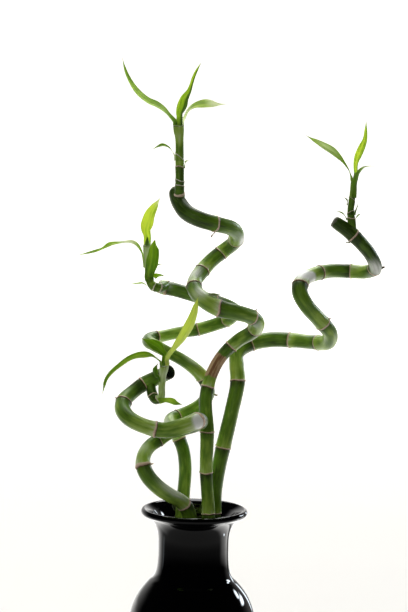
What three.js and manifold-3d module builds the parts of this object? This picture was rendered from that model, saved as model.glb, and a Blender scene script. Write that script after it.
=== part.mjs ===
// Lucky bamboo in its vase: four trained canes that wind clockwise up out of the neck of a glazed
// vase, each with a wax-sealed cut end and one leafy side shoot. The feet stand in pebbles and water.
// Millimetres, +Z up. The origin is the centre of the vase's foot, and -Y is the front.
import * as THREE from "three";
import { mergeVertices } from "three/addons/utils/BufferGeometryUtils.js";
import Module from "manifold-3d";

// Driving dimensions of the vase

const VASE_HEIGHT = 185;
const FOOT_RADIUS = 37.5;
const BELLY_RADIUS = 58;
const NECK_RADIUS = 31.5;
const RIM_RADIUS = 47.6;
const LIP_RADIUS = 2.8; // of the lip's rounded section
const WALL = 4;
const FLOOR_HEIGHT = 6; // inside the vase, above what it stands on
const VASE_SIDES = 36;

// Driving dimensions of what the vase holds

const GAP = 0.3; // between neighbouring pieces
const GRAVEL_HEIGHT = 46;
const WATER_HEIGHT = 150;
const PEBBLE_RADIUS = 6.5;
const PEBBLE_COUNT = 46;
const PEBBLE_SEED = 7;

// Driving dimensions of the plant

const CANE_SIDES = 10;
const RING_RISE = 0.45; // of a leaf scar's ring above the cane
const RING_LENGTH = 1.6; // half of its length along the cane
const SEAL_THICKNESS = 0.9;
const STEM_SIDES = 8;
const BLADE_THICKNESS = 0.8;
const BLADE_GAP = 0.5; // between a leaf's base and the stem that it clasps
const CLASP_ANGLE = 1.1; // radians that the widest leaf base reaches round the stem, each way

// Each cane's line, from its foot up: x, y, z and the cane's radius there. The rings are the
// distances of its leaf scars along that line.

const CANES = {
  a: {
    line: [
      [-9, -10, 6.5, 6], [-8, -10, 70, 6.1], [-5, -10, 135, 6.3], [-3.5, -12, 176.5, 6.6],
      [-6.5, -16, 188, 6.5], [-12.5, -21, 195.5, 6.5], [-22.5, -27, 202, 6.6],
      [-33.5, -31, 210.5, 6.7], [-41.5, -31, 219.5, 6.7], [-45.5, -27, 228, 6.5],
      [-45, -20, 235.5, 6.3], [-40.5, -12, 242, 6.3], [-32.5, -6, 247, 6.2], [-22, -5, 254, 6.2],
      [-11.5, -7, 257.5, 6.4], [-1, -14, 262, 6.6], [4, -24, 266.5, 6.8], [1.5, -35, 269, 7],
      [-10, -42, 265.5, 7], [-26.5, -44, 261.5, 6.9], [-44, -43, 264.5, 6.9], [-57.5, -37, 270, 7],
      [-64, -28, 276.5, 7], [-63, -18, 283.5, 6.8], [-57, -10, 289, 6.4], [-47.5, -5, 296, 6.5],
      [-38, -5, 301, 6.6], [-30, -10, 305.5, 6.6], [-25, -17, 309, 6.6],
    ],
    rings: [188, 243, 277, 339, 378, 426, 454],
  },
  b: {
    line: [
      [-13, 10, 6.5, 5.6], [-13, 10, 70, 5.8], [-11.5, 9, 135, 5.9], [-11, 8, 178, 5.9],
      [-10, 9, 196, 5.9], [-9, 9, 219.5, 5.8], [-11.5, 9, 237.5, 5.9], [-17.5, 12, 250.5, 6],
      [-23, 19, 257.5, 6], [-22, 28, 261, 5.9], [-14, 34, 264, 5.8], [-4, 35, 268.5, 5.9],
      [5, 31, 275.5, 6], [10, 25, 284.5, 6], [8.5, 19, 295, 5.9], [1.5, 15, 305, 5.8],
      [-11, 12, 315, 5.6], [-26.5, 10, 323.5, 5.6], [-37.5, 11, 329, 5.8], [-44, 18, 332, 5.9],
      [-42.5, 27, 334, 5.8], [-32.5, 34, 335.5, 5.6], [-19, 38, 338.5, 5.5], [0, 40, 342, 5.6],
      [16, 39, 347, 5.7], [28.5, 32, 353, 5.9], [33, 22, 360.5, 6.1], [26.5, 13, 365.5, 6.2],
      [12, 9, 370.5, 6.3], [-6, 12, 375.5, 6.4], [-22, 15, 379.5, 6.4], [-35, 17, 381.5, 6.3],
    ],
    rings: [240, 275, 334, 412, 451, 479, 523, 569],
  },
  c: {
    line: [
      [9, -6, 6.5, 5.8], [10, -6, 70, 5.8], [12, -5.5, 135, 5.9], [13, -5, 180, 5.9],
      [10, -4, 218, 5.9], [10, -2, 254, 6], [8, 0, 284.5, 5.9], [13, 4, 305.5, 5.6],
      [22, 9, 321.5, 5.7], [36, 12, 335, 6.2], [48.5, 5, 344, 6.3], [52.5, -7, 352.5, 6.4],
      [47, -19, 359, 6.5], [33.5, -28, 363.5, 6.9], [18, -31, 367, 7.3], [5.5, -26, 373, 7.3],
      [-3, -15, 380.5, 6.9], [-3.5, -2, 388.5, 6.6], [3, 9, 397.5, 6.5], [11.5, 16, 406.5, 6.5],
      [22, 19, 415, 6.6], [30.5, 13, 422.5, 6.7], [32.5, 2, 430, 6.7], [27, -11, 436, 6.8],
      [14.5, -21, 439.5, 7], [0, -25, 443.5, 7.4], [-11.5, -22, 449, 7.3], [-18, -15, 456.5, 6.8],
      [-21, -8, 463, 6.5], [-21.5, -5, 469, 6.4],
    ],
    rings: [175, 212, 248, 289, 331, 361, 387, 420, 458, 482, 507, 528, 571],
  },
  d: {
    line: [
      [12, 11, 6.5, 6.2], [13, 10.5, 70, 6.3], [15, 10, 135, 6.4], [18, 9, 177.5, 6.4],
      [18.5, 9, 200, 6.4], [21, 10, 220, 6.5], [24.5, 12, 238, 6.6], [31.5, 15, 270, 6.6],
      [36.5, 19, 297, 6.8], [35.5, 24, 311, 6.9], [36, 31, 321.5, 6.6], [46.5, 38, 329, 6.6],
      [65, 41, 333.5, 6.9], [85.5, 37, 334, 6.8], [104, 28, 333.5, 6.6], [116, 13, 335.5, 6.9],
      [116.5, -1, 345.5, 6.9], [105.5, -13, 358.5, 6.8], [94.5, -20, 370.5, 6.8],
      [88.5, -19, 381.5, 7], [90.5, -9, 390.5, 6.8], [101, 4, 396, 6.5], [116.5, 15, 399, 6.4],
      [135, 19, 399, 6.3], [148.5, 13, 399, 6.1], [155.5, 1, 403.5, 6], [151, -9, 414, 5.7],
      [141, -15, 425.5, 6], [131, -18, 434.5, 6.1], [117, -18, 444, 5.6],
    ],
    rings: [173, 233, 294, 338, 374, 403, 448, 494, 526, 556, 583, 628],
  },
};

// Each shoot's stem, from inside its cane up: x, y, z and the stem's radius. The wide place near
// the top is the mouth of the lowest leaf's sheath, which the thin core stands out of.

const STEMS = {
  a: [
    [-40.5, -7, 296, 4], [-39, -14, 289, 4.5], [-35.5, -19, 284.5, 4], [-31, -21, 287, 3.2],
    [-30.5, -23, 296.5, 3], [-29.5, -27.5, 308, 3.1], [-28.5, -28, 315.5, 3.9], [-28, -28, 321, 2.2],
    [-28, -28, 327, 1],
  ],
  b: [
    [-29.5, 12, 383.5, 4], [-34.5, 3.5, 381.5, 4.3], [-41, 0.5, 383.5, 4], [-44, 1, 390, 3.4],
    [-45.5, 3, 400.5, 3.1], [-46.5, 4, 411, 3.1], [-46.5, 4, 419.5, 3.5], [-46.5, 4, 425.5, 2],
    [-46.5, 4, 431.5, 1],
  ],
  c: [
    [-19.5, -9, 457, 4.2], [-18.5, -13, 462, 4.8], [-18.5, -15, 468.5, 4.2], [-18.5, -15, 479, 3.9],
    [-19, -13, 494.5, 3.8], [-19.5, -11, 512, 3.7], [-20.5, -10, 523.5, 4.7],
    [-20.5, -10, 529.5, 2.6], [-20, -10, 538, 1],
  ],
  d: [
    [133, -17, 438, 3.4], [132, -17, 444, 3.6], [131, -16, 454, 3], [132, -15, 464, 2.8],
    [132.5, -15, 473.5, 2.4], [133.5, -15, 480.5, 2.7], [133.5, -15, 484.5, 1.8],
    [134, -15, 491.5, 0.9],
  ],
};

// Each leaf: the height at which its base leaves the stem, the side of the stem that the base is
// on (degrees about +Z, from +X), how far it clasps the stem upwards, the direction that its upper
// face looks at the tip, and its rib beyond the base as x, y, z and the half width there.

const LEAVES = {
  a_1: {
    stem: "a", height: 318.5, side: -20, clasp: 3, face: [-0.45, 0.8, 0.35],
    rib: [
      [-24, -29.5, 323.5, 5], [-18.5, -31.5, 332, 5.4], [-12.5, -33.5, 341, 5.6],
      [-7.5, -35.5, 350.5, 5.2], [-3.5, -37, 362.5, 4], [-1.5, -38, 371.5, 2.2], [0, -38.5, 378, 0.5],
    ],
  },
  a_2: {
    stem: "a", height: 317.5, side: 190, clasp: 1, face: [0, -0.56, 0.83],
    rib: [
      [-36.5, -29.5, 322.5, 2.6], [-41.5, -31, 325, 3], [-49, -33, 325, 3.5],
      [-57.5, -35, 322.5, 3.1], [-66.5, -37, 316.5, 2.6], [-74, -38, 310, 2.2],
      [-78.5, -38.5, 303.5, 1.6], [-80.3, -38.5, 296.5, 1], [-81.5, -38.5, 291, 0.4],
    ],
  },
  a_3: {
    stem: "a", height: 322, side: 100, clasp: 3, face: [0.4, -0.85, 0.35],
    rib: [
      [-31, -23.5, 327.5, 4], [-35, -22.5, 331, 5.6], [-40, -23, 334, 4.6], [-45, -24, 337, 2.6],
      [-49, -24.5, 339, 0.5],
    ],
  },
  a_4: {
    stem: "a", height: 285.5, side: -60, clasp: 1, face: [-0.1, 0.85, 0.5],
    rib: [
      [-27.5, -26, 285, 2.6], [-22.5, -28, 284.5, 3.6], [-17.5, -29, 283.2, 3],
      [-12, -30, 282.2, 0.5],
    ],
  },
  a_5: {
    stem: "a", height: 303, side: 200, clasp: 2, face: [0.5, 0.85, 0.1],
    rib: [
      [-36.3, -27.2, 307, 3], [-36.8, -28.3, 310.5, 3.2], [-36, -28.8, 314, 2.2],
      [-34, -28.5, 317.8, 0.4],
    ],
  },
  b_1: {
    stem: "b", height: 423, side: 90, clasp: 4, face: [-0.3, -0.85, 0.4],
    rib: [
      [-47.5, 9, 432, 5.6], [-46.5, 11, 438.5, 6], [-44, 13, 446.5, 5.2], [-40.5, 14, 453.5, 3.6],
      [-37.5, 14, 458.5, 1.5], [-35, 14, 462, 0.4],
    ],
  },
  b_2: {
    stem: "b", height: 388, side: -90, clasp: 3, face: [0.3, 0.9, 0.1],
    rib: [
      [-43.6, -4, 396.5, 5.2], [-42.2, -6, 404, 6], [-40.7, -6.5, 412.5, 5.2],
      [-40.5, -6, 419.5, 4.2], [-39.2, -5, 424.5, 1.6],
    ],
  },
  b_3: {
    stem: "b", height: 390, side: 20, clasp: 0.8, face: [-0.2, -0.5, 0.85],
    rib: [[-36.5, 3, 392, 2.6], [-33, 2.5, 392.5, 1.6], [-30, 2, 392, 0.4]],
  },
  b_4: {
    stem: "b", height: 385.5, side: 175, clasp: 0.6, face: [0, -0.4, 0.9],
    rib: [[-50, 0, 385.5, 1.6], [-55.5, -2, 385, 1.4], [-61.5, -4, 386, 0.4]],
  },
  b_5: {
    stem: "b", height: 396, side: 50, clasp: 1, face: [-0.3, -0.4, 0.85],
    rib: [[-40, 8.5, 400, 2], [-36.5, 10.5, 401.5, 1.6], [-32.5, 11.5, 402, 0.4]],
  },
  b_6: {
    stem: "b", height: 400, side: 170, clasp: 7, face: [0, -0.5, 0.86],
    rib: [
      [-51.5, 3, 412.5, 2.6], [-54.5, 1, 417.5, 3.2], [-58.5, -2, 421, 2.8], [-62.5, -5, 422, 1.9],
      [-69, -8.5, 421.5, 1.6], [-78, -12.5, 419.5, 3.3], [-85, -15.5, 416, 1.6],
      [-91.5, -17, 413.5, 2], [-106, -19, 410, 0.4],
    ],
  },
  c_1: {
    stem: "c", height: 526, side: 200, clasp: 1, face: [0.45, 0.75, 0.48],
    rib: [
      [-28.3, -12, 531.5, 4.2], [-33.8, -14, 537, 4.8], [-40.3, -16, 541.5, 4.5],
      [-47.5, -18, 545, 3.8], [-54.5, -20, 550.5, 3.2], [-60.5, -21, 557.5, 2.7],
      [-65, -22, 565.5, 2], [-68, -22, 574, 1.2], [-70, -22, 581.5, 0.4],
    ],
  },
  c_2: {
    stem: "c", height: 530.5, side: -65, clasp: 2, face: [-0.25, 0.9, 0.35],
    rib: [
      [-18.9, -13.6, 535.5, 4.4], [-17.1, -12.6, 541, 5.1], [-15.3, -11, 547.5, 4.1],
      [-12, -9.5, 554, 2.5], [-10, -8.5, 560.5, 1.6], [-8, -7.5, 567, 1.5], [-5, -6.5, 574, 1.1],
      [-1.5, -6, 580.5, 0.4],
    ],
  },
  c_3: {
    stem: "c", height: 526.5, side: 55, clasp: 1, face: [-0.2, -0.9, 0.45],
    rib: [
      [-15.5, -3, 532, 1.6], [-12.5, 0, 538, 1.6], [-6.5, 4, 542.5, 3], [0.5, 7, 544, 4.6],
      [7.5, 10, 544.5, 3.9], [14.5, 12, 544.5, 1.4], [23, 14, 545, 0.4],
    ],
  },
  c_4: {
    stem: "c", height: 494, side: 195, clasp: 4, face: [0.1, -0.6, 0.8],
    rib: [
      [-25.6, -14, 502, 1.2], [-28.5, -15.5, 505.2, 1.4], [-33.5, -18, 507, 2.3],
      [-38.5, -19, 505.5, 1.7], [-42.5, -20, 503, 0.4],
    ],
  },
  c_5: {
    stem: "c", height: 487.5, side: -15, clasp: 3, face: [-0.3, -0.5, 0.8],
    rib: [[-13.4, -15.6, 493.4, 1.5], [-10.2, -16, 494.2, 0.4]],
  },
  d_1: {
    stem: "d", height: 481, side: 185, clasp: 1, face: [0.4, -0.75, 0.5],
    rib: [
      [128.8, -17, 487.5, 2], [124.6, -20, 493.5, 2.6], [118.8, -22, 499.5, 3.6],
      [112, -24, 505, 4.4], [105, -25, 509, 3.7], [96.5, -26, 514, 2.2], [89.5, -26, 518, 0.4],
    ],
  },
  d_2: {
    stem: "d", height: 484, side: 30, clasp: 3, face: [-0.5, -0.8, 0.2],
    rib: [
      [135.6, -12.5, 494, 3.4], [137.3, -11, 501, 3.9], [140.3, -10, 509, 3.6],
      [142.5, -9, 516, 2.3], [143, -8.5, 522, 1.6], [143, -8, 532.5, 0.4],
    ],
  },
  d_3: {
    stem: "d", height: 465, side: -50, clasp: 6, face: [-0.45, 0.5, 0.75],
    rib: [
      [134.4, -20, 479, 3.4], [137, -21, 487, 3], [141, -22.5, 491.5, 1.8], [145, -24, 492.5, 1],
      [151, -26, 492.5, 0.4],
    ],
  },
  d_4: {
    stem: "d", height: 446, side: 195, clasp: 0.6, face: [0.2, -0.5, 0.85],
    rib: [[125.5, -19, 449.5, 1.7], [123, -20.5, 451.5, 1.4], [117.5, -23, 453.5, 0.4]],
  },
  d_5: {
    stem: "d", height: 446.5, side: 10, clasp: 0.6, face: [-0.4, -0.5, 0.8],
    rib: [[138, -16, 450, 1.2], [140, -16.5, 451, 0.4]],
  },
  d_6: {
    stem: "d", height: 449.5, side: -40, clasp: 1, face: [-0.7, 0.3, 0.6],
    rib: [[135.5, -19.5, 454.5, 1.5], [136.5, -20, 457.5, 1.3], [136.5, -20, 460.5, 0.4]],
  },
  d_7: {
    stem: "d", height: 458, side: 190, clasp: 1, face: [0.5, -0.5, 0.7],
    rib: [[127.5, -16.5, 462.5, 1.6], [124.5, -17.5, 465.5, 0.4]],
  },
};

// Materials

function material(color, roughness) {
  return new THREE.MeshStandardMaterial({ color, roughness, metalness: 0 });
}

const GLAZE = material(0x0b0b0c, 0.12);
const PEBBLE = material(0x39383a, 0.5);
const WATER = material(0xc6d3d0, 0.05);
const BARK = material(0x4a6a2a, 0.45);
const WAX = material(0x1d2a1c, 0.3);
const SHEATH = material(0x93a558, 0.5);
const BLADE = material(0x7f9c2e, 0.45);

// Solids from rings of points

// Gives a closed surface its outward sense, whichever way its rings were listed.
function facingOut(points, triangles) {
  let volume = 0;
  for (const [a, b, c] of triangles) {
    volume += points[a].dot(new THREE.Vector3().crossVectors(points[b], points[c]));
  }
  const index = triangles.flatMap(([a, b, c]) => (volume < 0 ? [a, c, b] : [a, b, c]));
  const geometry = new THREE.BufferGeometry();
  geometry.setFromPoints(points);
  geometry.setIndex(index);
  geometry.computeVertexNormals();
  return geometry;
}

// Joins rings of equally many points into one closed solid, with a fan over each end.
function loft(rings) {
  const sides = rings[0].length;
  const points = rings.flat();
  const triangles = [];
  for (let ring = 0; ring + 1 < rings.length; ring++) {
    for (let side = 0; side < sides; side++) {
      const here = ring * sides + side;
      const beside = ring * sides + ((side + 1) % sides);
      triangles.push([here, beside, beside + sides], [here, beside + sides, here + sides]);
    }
  }
  for (const ring of [0, rings.length - 1]) {
    const centre = new THREE.Vector3();
    rings[ring].forEach((point) => centre.addScaledVector(point, 1 / sides));
    const middle = points.push(centre) - 1;
    for (let side = 0; side < sides; side++) {
      const here = ring * sides + side;
      const beside = ring * sides + ((side + 1) % sides);
      triangles.push(ring === 0 ? [middle, beside, here] : [middle, here, beside]);
    }
  }
  return facingOut(points, triangles);
}

// Joins two equal grids of points, a blade's upper and lower face, round all four edges. Both
// faces are split along the same diagonals, so that a waved blade never crosses itself.
function slab(upper, lower) {
  const rows = upper.length;
  const columns = upper[0].length;
  const points = [...upper.flat(), ...lower.flat()];
  const under = rows * columns;
  const at = (row, column) => row * columns + column;
  const triangles = [];
  for (let row = 0; row + 1 < rows; row++) {
    for (let column = 0; column + 1 < columns; column++) {
      const [a, b] = [at(row, column), at(row, column + 1)];
      const [c, d] = [at(row + 1, column + 1), at(row + 1, column)];
      triangles.push([a, b, c], [a, c, d]);
      triangles.push([under + a, under + c, under + b], [under + a, under + d, under + c]);
    }
  }
  const edge = (a, b) => triangles.push([a, under + a, under + b], [a, under + b, b]);
  for (let column = 0; column + 1 < columns; column++) {
    edge(at(0, column), at(0, column + 1));
    edge(at(rows - 1, column + 1), at(rows - 1, column));
  }
  for (let row = 0; row + 1 < rows; row++) {
    edge(at(row, columns - 1), at(row + 1, columns - 1));
    edge(at(row + 1, 0), at(row, 0));
  }
  return facingOut(points, triangles);
}

// Cutting one closed solid by others

const wasm = await Module();
wasm.setup();

function solidOf(geometry) {
  const bare = geometry.clone();
  bare.deleteAttribute("normal");
  bare.deleteAttribute("uv");
  const merged = mergeVertices(bare, 1e-4);
  return new wasm.Manifold(
    new wasm.Mesh({
      numProp: 3,
      vertProperties: merged.attributes.position.array,
      triVerts: new Uint32Array(merged.index.array),
    }),
  );
}

function cut(geometry, tools) {
  let solid = solidOf(geometry);
  for (const tool of tools) solid = solid.subtract(solidOf(tool));
  const mesh = solid.getMesh();
  const result = new THREE.BufferGeometry();
  result.setAttribute("position", new THREE.BufferAttribute(mesh.vertProperties, 3));
  result.setIndex(new THREE.BufferAttribute(mesh.triVerts, 1));
  result.computeVertexNormals();
  return result;
}

// A line in space with a width that changes along it

const FINE_STEPS = 24; // samples from each listed point to the next

// Samples a list of [x, y, z, width]: each sample has its place, width, distance and direction.
function trace(line) {
  const curve = new THREE.CatmullRomCurve3(
    line.map(([x, y, z]) => new THREE.Vector3(x, y, z)),
    false,
    "centripetal",
  );
  const count = (line.length - 1) * FINE_STEPS;
  const samples = [];
  let distance = 0;
  for (let i = 0; i <= count; i++) {
    const place = curve.getPoint(i / count);
    if (i > 0) distance += place.distanceTo(samples[i - 1].place);
    const from = Math.min(Math.floor(i / FINE_STEPS), line.length - 2);
    const width = THREE.MathUtils.lerp(line[from][3], line[from + 1][3], i / FINE_STEPS - from);
    samples.push({ place, width, distance, along: curve.getTangent(i / count) });
  }
  return samples;
}

// The sample at a distance along the line.
function sampleAt(samples, distance) {
  const last = samples[samples.length - 1].distance;
  const wanted = THREE.MathUtils.clamp(distance, 0, last);
  const next = Math.max(1, samples.findIndex((sample) => sample.distance >= wanted - 1e-9));
  const [a, b] = [samples[next - 1], samples[next]];
  const share = (wanted - a.distance) / (b.distance - a.distance);
  return {
    place: a.place.clone().lerp(b.place, share),
    along: a.along.clone().lerp(b.along, share).normalize(),
    width: THREE.MathUtils.lerp(a.width, b.width, share),
    distance: wanted,
  };
}

// Distances for cross-sections: one after each bend of BEND_STEP or each LONGEST_STEP.
const BEND_STEP = 0.36; // radians
const LONGEST_STEP = 22;

function stationsOf(samples) {
  const stations = [0];
  let last = samples[0];
  for (const sample of samples) {
    const bend = sample.along.angleTo(last.along);
    if (bend > BEND_STEP || sample.distance - last.distance > LONGEST_STEP) {
      stations.push(sample.distance);
      last = sample;
    }
  }
  const end = samples[samples.length - 1].distance;
  while (end - stations[stations.length - 1] < 2) stations.pop();
  return [...stations, end];
}

// Round rings square to the line at the stations, turned with it and never about it.
function tubeRings(sections, sides) {
  let across = new THREE.Vector3(0, 1, 0);
  return sections.map(({ place, along, width }) => {
    across = across.clone().addScaledVector(along, -across.dot(along)).normalize();
    const beside = new THREE.Vector3().crossVectors(along, across);
    return Array.from({ length: sides }, (_, side) => {
      const angle = (2 * Math.PI * side) / sides;
      return place
        .clone()
        .addScaledVector(across, width * Math.cos(angle))
        .addScaledVector(beside, width * Math.sin(angle));
    });
  });
}

// Canes

const caneTraces = {};
for (const [name, cane] of Object.entries(CANES)) caneTraces[name] = trace(cane.line);

// One cane with a low ridge at each leaf scar. With grow, all of it is that much thicker and longer,
// as the hole that it leaves in what it stands in or grows out of.
function caneGeometry(name, grow = 0) {
  const samples = caneTraces[name];
  const end = samples[samples.length - 1].distance;
  const marks = CANES[name].rings.filter((ring) => ring + RING_LENGTH < end);
  const clear = 2 * RING_LENGTH;
  const isPlain = (station) => marks.every((ring) => Math.abs(station - ring) > clear);
  const plain = stationsOf(samples).filter(isPlain);
  const sections = plain.map((station) => sampleAt(samples, station));
  for (const ring of marks) {
    for (const [offset, rise] of [[-RING_LENGTH, 0], [0, RING_RISE], [RING_LENGTH, 0]]) {
      const section = sampleAt(samples, ring + offset);
      section.width += rise;
      sections.push(section);
    }
  }
  sections.sort((a, b) => a.distance - b.distance);
  sections.forEach((section) => (section.width += grow));
  sections[0].place.addScaledVector(sections[0].along, -3 * grow);
  sections.at(-1).place.addScaledVector(sections.at(-1).along, grow);
  return loft(tubeRings(sections, CANE_SIDES));
}

// The wax on a cane's cut end: a thin domed disc a gap beyond it.
function sealGeometry(name) {
  const samples = caneTraces[name];
  const end = samples[samples.length - 1];
  const profile = [[0, 1], [0.35, 1], [0.75, 0.9], [1, 0.45]]; // share of the thickness, of the radius
  const sections = profile.map(([rise, share]) => ({
    place: end.place.clone().addScaledVector(end.along, GAP + rise * SEAL_THICKNESS),
    along: end.along,
    width: share * end.width,
  }));
  return loft(tubeRings(sections, CANE_SIDES));
}

// Shoots

const stemTraces = {};
for (const [name, line] of Object.entries(STEMS)) stemTraces[name] = trace(line);

const STEM_STEP = 4.5;

function stemGeometry(name) {
  const samples = stemTraces[name];
  const end = samples[samples.length - 1].distance;
  const count = Math.round(end / STEM_STEP);
  const sections = Array.from({ length: count + 1 }, (_, i) => sampleAt(samples, (end * i) / count));
  return cut(loft(tubeRings(sections, STEM_SIDES)), [caneGeometry(name, GAP)]);
}

// Leaves

const LEAF_STEP = 6.5;
const NARROW_LEAF = 3; // half width up to which a leaf has fewer columns
const CHANNEL = 2.2; // radius of an open blade's channel, in its widest half widths
const UNROLL = 14; // distance over which a clasping base opens into the blade

// Where a leaf's base lies: against the stem on its side, facing the stem's axis.
function leafSeat(leaf) {
  const samples = stemTraces[leaf.stem];
  const first = samples.findLastIndex((sample) => sample.place.z < leaf.height);
  const bearing = THREE.MathUtils.degToRad(leaf.side);
  const seat = (sample, lift) => {
    const out = new THREE.Vector3(Math.cos(bearing), Math.sin(bearing), 0);
    out.addScaledVector(sample.along, -out.dot(sample.along)).normalize();
    const reach = sample.width + BLADE_GAP + BLADE_THICKNESS / 2 + lift;
    return { point: sample.place.clone().addScaledVector(out, reach), out, reach };
  };
  const base = seat(samples[first], 0);
  const above = seat(sampleAt(samples, samples[first].distance + leaf.clasp), 0.15);
  return { base, above };
}

function leafGeometry(leaf) {
  const { base, above } = leafSeat(leaf);
  const widest = Math.max(...leaf.rib.map((point) => point[3]));
  const baseWidth = Math.min(widest, CLASP_ANGLE * base.reach);
  const line = [
    [...base.point.toArray(), baseWidth],
    [...above.point.toArray(), baseWidth],
    ...leaf.rib,
  ];
  const samples = trace(line);
  const length = samples[samples.length - 1].distance;
  const rows = Math.max(4, Math.round(length / LEAF_STEP));
  const columns = widest > NARROW_LEAF ? 6 : 4;
  const tipFace = new THREE.Vector3(...leaf.face).normalize();
  const baseFace = base.out.clone().negate();
  const upper = [];
  const lower = [];
  for (let row = 0; row <= rows; row++) {
    const sample = sampleAt(samples, (length * row) / rows);
    const turn = THREE.MathUtils.smoothstep(sample.distance, leaf.clasp, 0.6 * length);
    const face = baseFace.clone().lerp(tipFace, turn);
    const across = new THREE.Vector3().crossVectors(sample.along, face).normalize();
    const up = new THREE.Vector3().crossVectors(across, sample.along).normalize();
    const open = THREE.MathUtils.smoothstep(sample.distance, leaf.clasp, leaf.clasp + UNROLL);
    const bend = THREE.MathUtils.lerp(1 / base.reach, 1 / (CHANNEL * widest), open);
    const upperRow = [];
    const lowerRow = [];
    for (let column = 0; column <= columns; column++) {
      const angle = ((2 * column) / columns - 1) * sample.width * bend;
      for (const [target, radius] of [
        [upperRow, 1 / bend - BLADE_THICKNESS / 2],
        [lowerRow, 1 / bend + BLADE_THICKNESS / 2],
      ]) {
        target.push(
          sample.place
            .clone()
            .addScaledVector(across, radius * Math.sin(angle))
            .addScaledVector(up, 1 / bend - radius * Math.cos(angle)),
        );
      }
    }
    upper.push(upperRow);
    lower.push(lowerRow);
  }
  return slab(upper, lower);
}

// The vase: its outer and inner walls as curves of radius and height, joined by the round lip

const BELLY_HEIGHT = 70;
const NECK_HEIGHT = 148;
const LIP_CENTRE = [RIM_RADIUS - LIP_RADIUS, VASE_HEIGHT - LIP_RADIUS];

const OUTER_WALL = [
  [FOOT_RADIUS, 0],
  [FOOT_RADIUS + 4, 5],
  [BELLY_RADIUS - 7, 28],
  [BELLY_RADIUS - 1.5, 50],
  [BELLY_RADIUS, BELLY_HEIGHT],
  [55.8, 90],
  [52.1, 101],
  [48.2, 108.2],
  [43.9, 114],
  [39.8, 118.6],
  [35.8, 122.4],
  [33.3, 127.6],
  [32, 135.5],
  [NECK_RADIUS, NECK_HEIGHT],
  [32, 161],
  [34.5, 170],
  [39.2, 176.2],
  [LIP_CENTRE[0], LIP_CENTRE[1] - LIP_RADIUS],
];
const INNER_WALL = [
  [36.8, 181.6],
  [30.5, 173],
  [28.2, 162],
  [NECK_RADIUS - WALL, NECK_HEIGHT],
  [27.9, 136],
  [29.2, 127.2],
  [32.6, 120.4],
  [38.4, 113.6],
  [44.6, 105.6],
  [51.1, 91],
  [BELLY_RADIUS - WALL, BELLY_HEIGHT],
  [BELLY_RADIUS - 1.5 - WALL, 50],
  [BELLY_RADIUS - 7 - WALL, 28],
  [FOOT_RADIUS - 2, 10],
  [FOOT_RADIUS - 8, FLOOR_HEIGHT],
];
const OUTER_STEPS = 17;
const INNER_STEPS = 13;

function wallPoints(list, steps) {
  const curve = new THREE.SplineCurve(list.map(([radius, height]) => new THREE.Vector2(radius, height)));
  return curve.getPoints(steps);
}

const innerWall = wallPoints(INNER_WALL, INNER_STEPS);

function vaseGeometry() {
  const lip = new THREE.Path().absarc(...LIP_CENTRE, LIP_RADIUS, -Math.PI / 2, (2 / 3) * Math.PI);
  const profile = [
    new THREE.Vector2(0, 0),
    ...wallPoints(OUTER_WALL, OUTER_STEPS),
    ...lip.getPoints(5).slice(1),
    ...innerWall,
    new THREE.Vector2(0, FLOOR_HEIGHT),
  ];
  return loft(latheRings(profile.slice(1, -1), VASE_SIDES));
}

// Level rings about the vase's axis.
function latheRings(profile, sides) {
  return profile.map(({ x: radius, y: height }) =>
    Array.from({ length: sides }, (_, side) => {
      const angle = (2 * Math.PI * side) / sides;
      return new THREE.Vector3(radius * Math.cos(angle), radius * Math.sin(angle), height);
    }),
  );
}

// The radius inside the vase at a height, less the gap that the filling keeps on a sloping wall.
function insideRadius(height) {
  const next = innerWall.findIndex((point) => point.y <= height);
  const [above, below] = [innerWall[next - 1], innerWall[next]];
  const share = (height - below.y) / (above.y - below.y);
  return THREE.MathUtils.lerp(below.x, above.x, share) - 1.5 * GAP;
}

// The filling's side from one height up to another, with a corner wherever the wall has one.
function fillingSide(low, high) {
  const isBetween = (height) => height > low + GAP && height < high - GAP;
  const corners = innerWall.map((point) => point.y).filter(isBetween).reverse();
  const heights = [low, ...corners, high];
  return heights.map((height) => new THREE.Vector2(insideRadius(height), height));
}

// Pebbles and water

// A repeatable draw of numbers from 0 to 1.
function seededDraw(seed) {
  let state = seed;
  return () => {
    state = (state * 16807) % 2147483647;
    return state / 2147483647;
  };
}

const draw = seededDraw(PEBBLE_SEED);
const GOLDEN_ANGLE = Math.PI * (3 - Math.sqrt(5));
const bedRadius = insideRadius(GRAVEL_HEIGHT - PEBBLE_RADIUS);
const PEBBLES = Array.from({ length: PEBBLE_COUNT }, (_, i) => {
  const reach = (bedRadius - PEBBLE_RADIUS / 2) * Math.sqrt((i + 0.5) / PEBBLE_COUNT);
  const angle = i * GOLDEN_ANGLE + 0.4 * (draw() - 0.5);
  const radius = PEBBLE_RADIUS * (0.85 + 0.35 * draw());
  return { x: reach * Math.cos(angle), y: reach * Math.sin(angle), radius, sink: 1.5 * draw() };
});

// The height of the pebble bed's uneven top.
function bedHeight(x, y) {
  let height = GRAVEL_HEIGHT - PEBBLE_RADIUS * 0.55;
  for (const pebble of PEBBLES) {
    const away = Math.hypot(x - pebble.x, y - pebble.y) / pebble.radius;
    if (away >= 1) continue;
    const crown = GRAVEL_HEIGHT - pebble.sink - 0.55 * pebble.radius * (1 - Math.sqrt(1 - away * away));
    height = Math.max(height, crown);
  }
  return height;
}

const BED_RINGS = 9;

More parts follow.
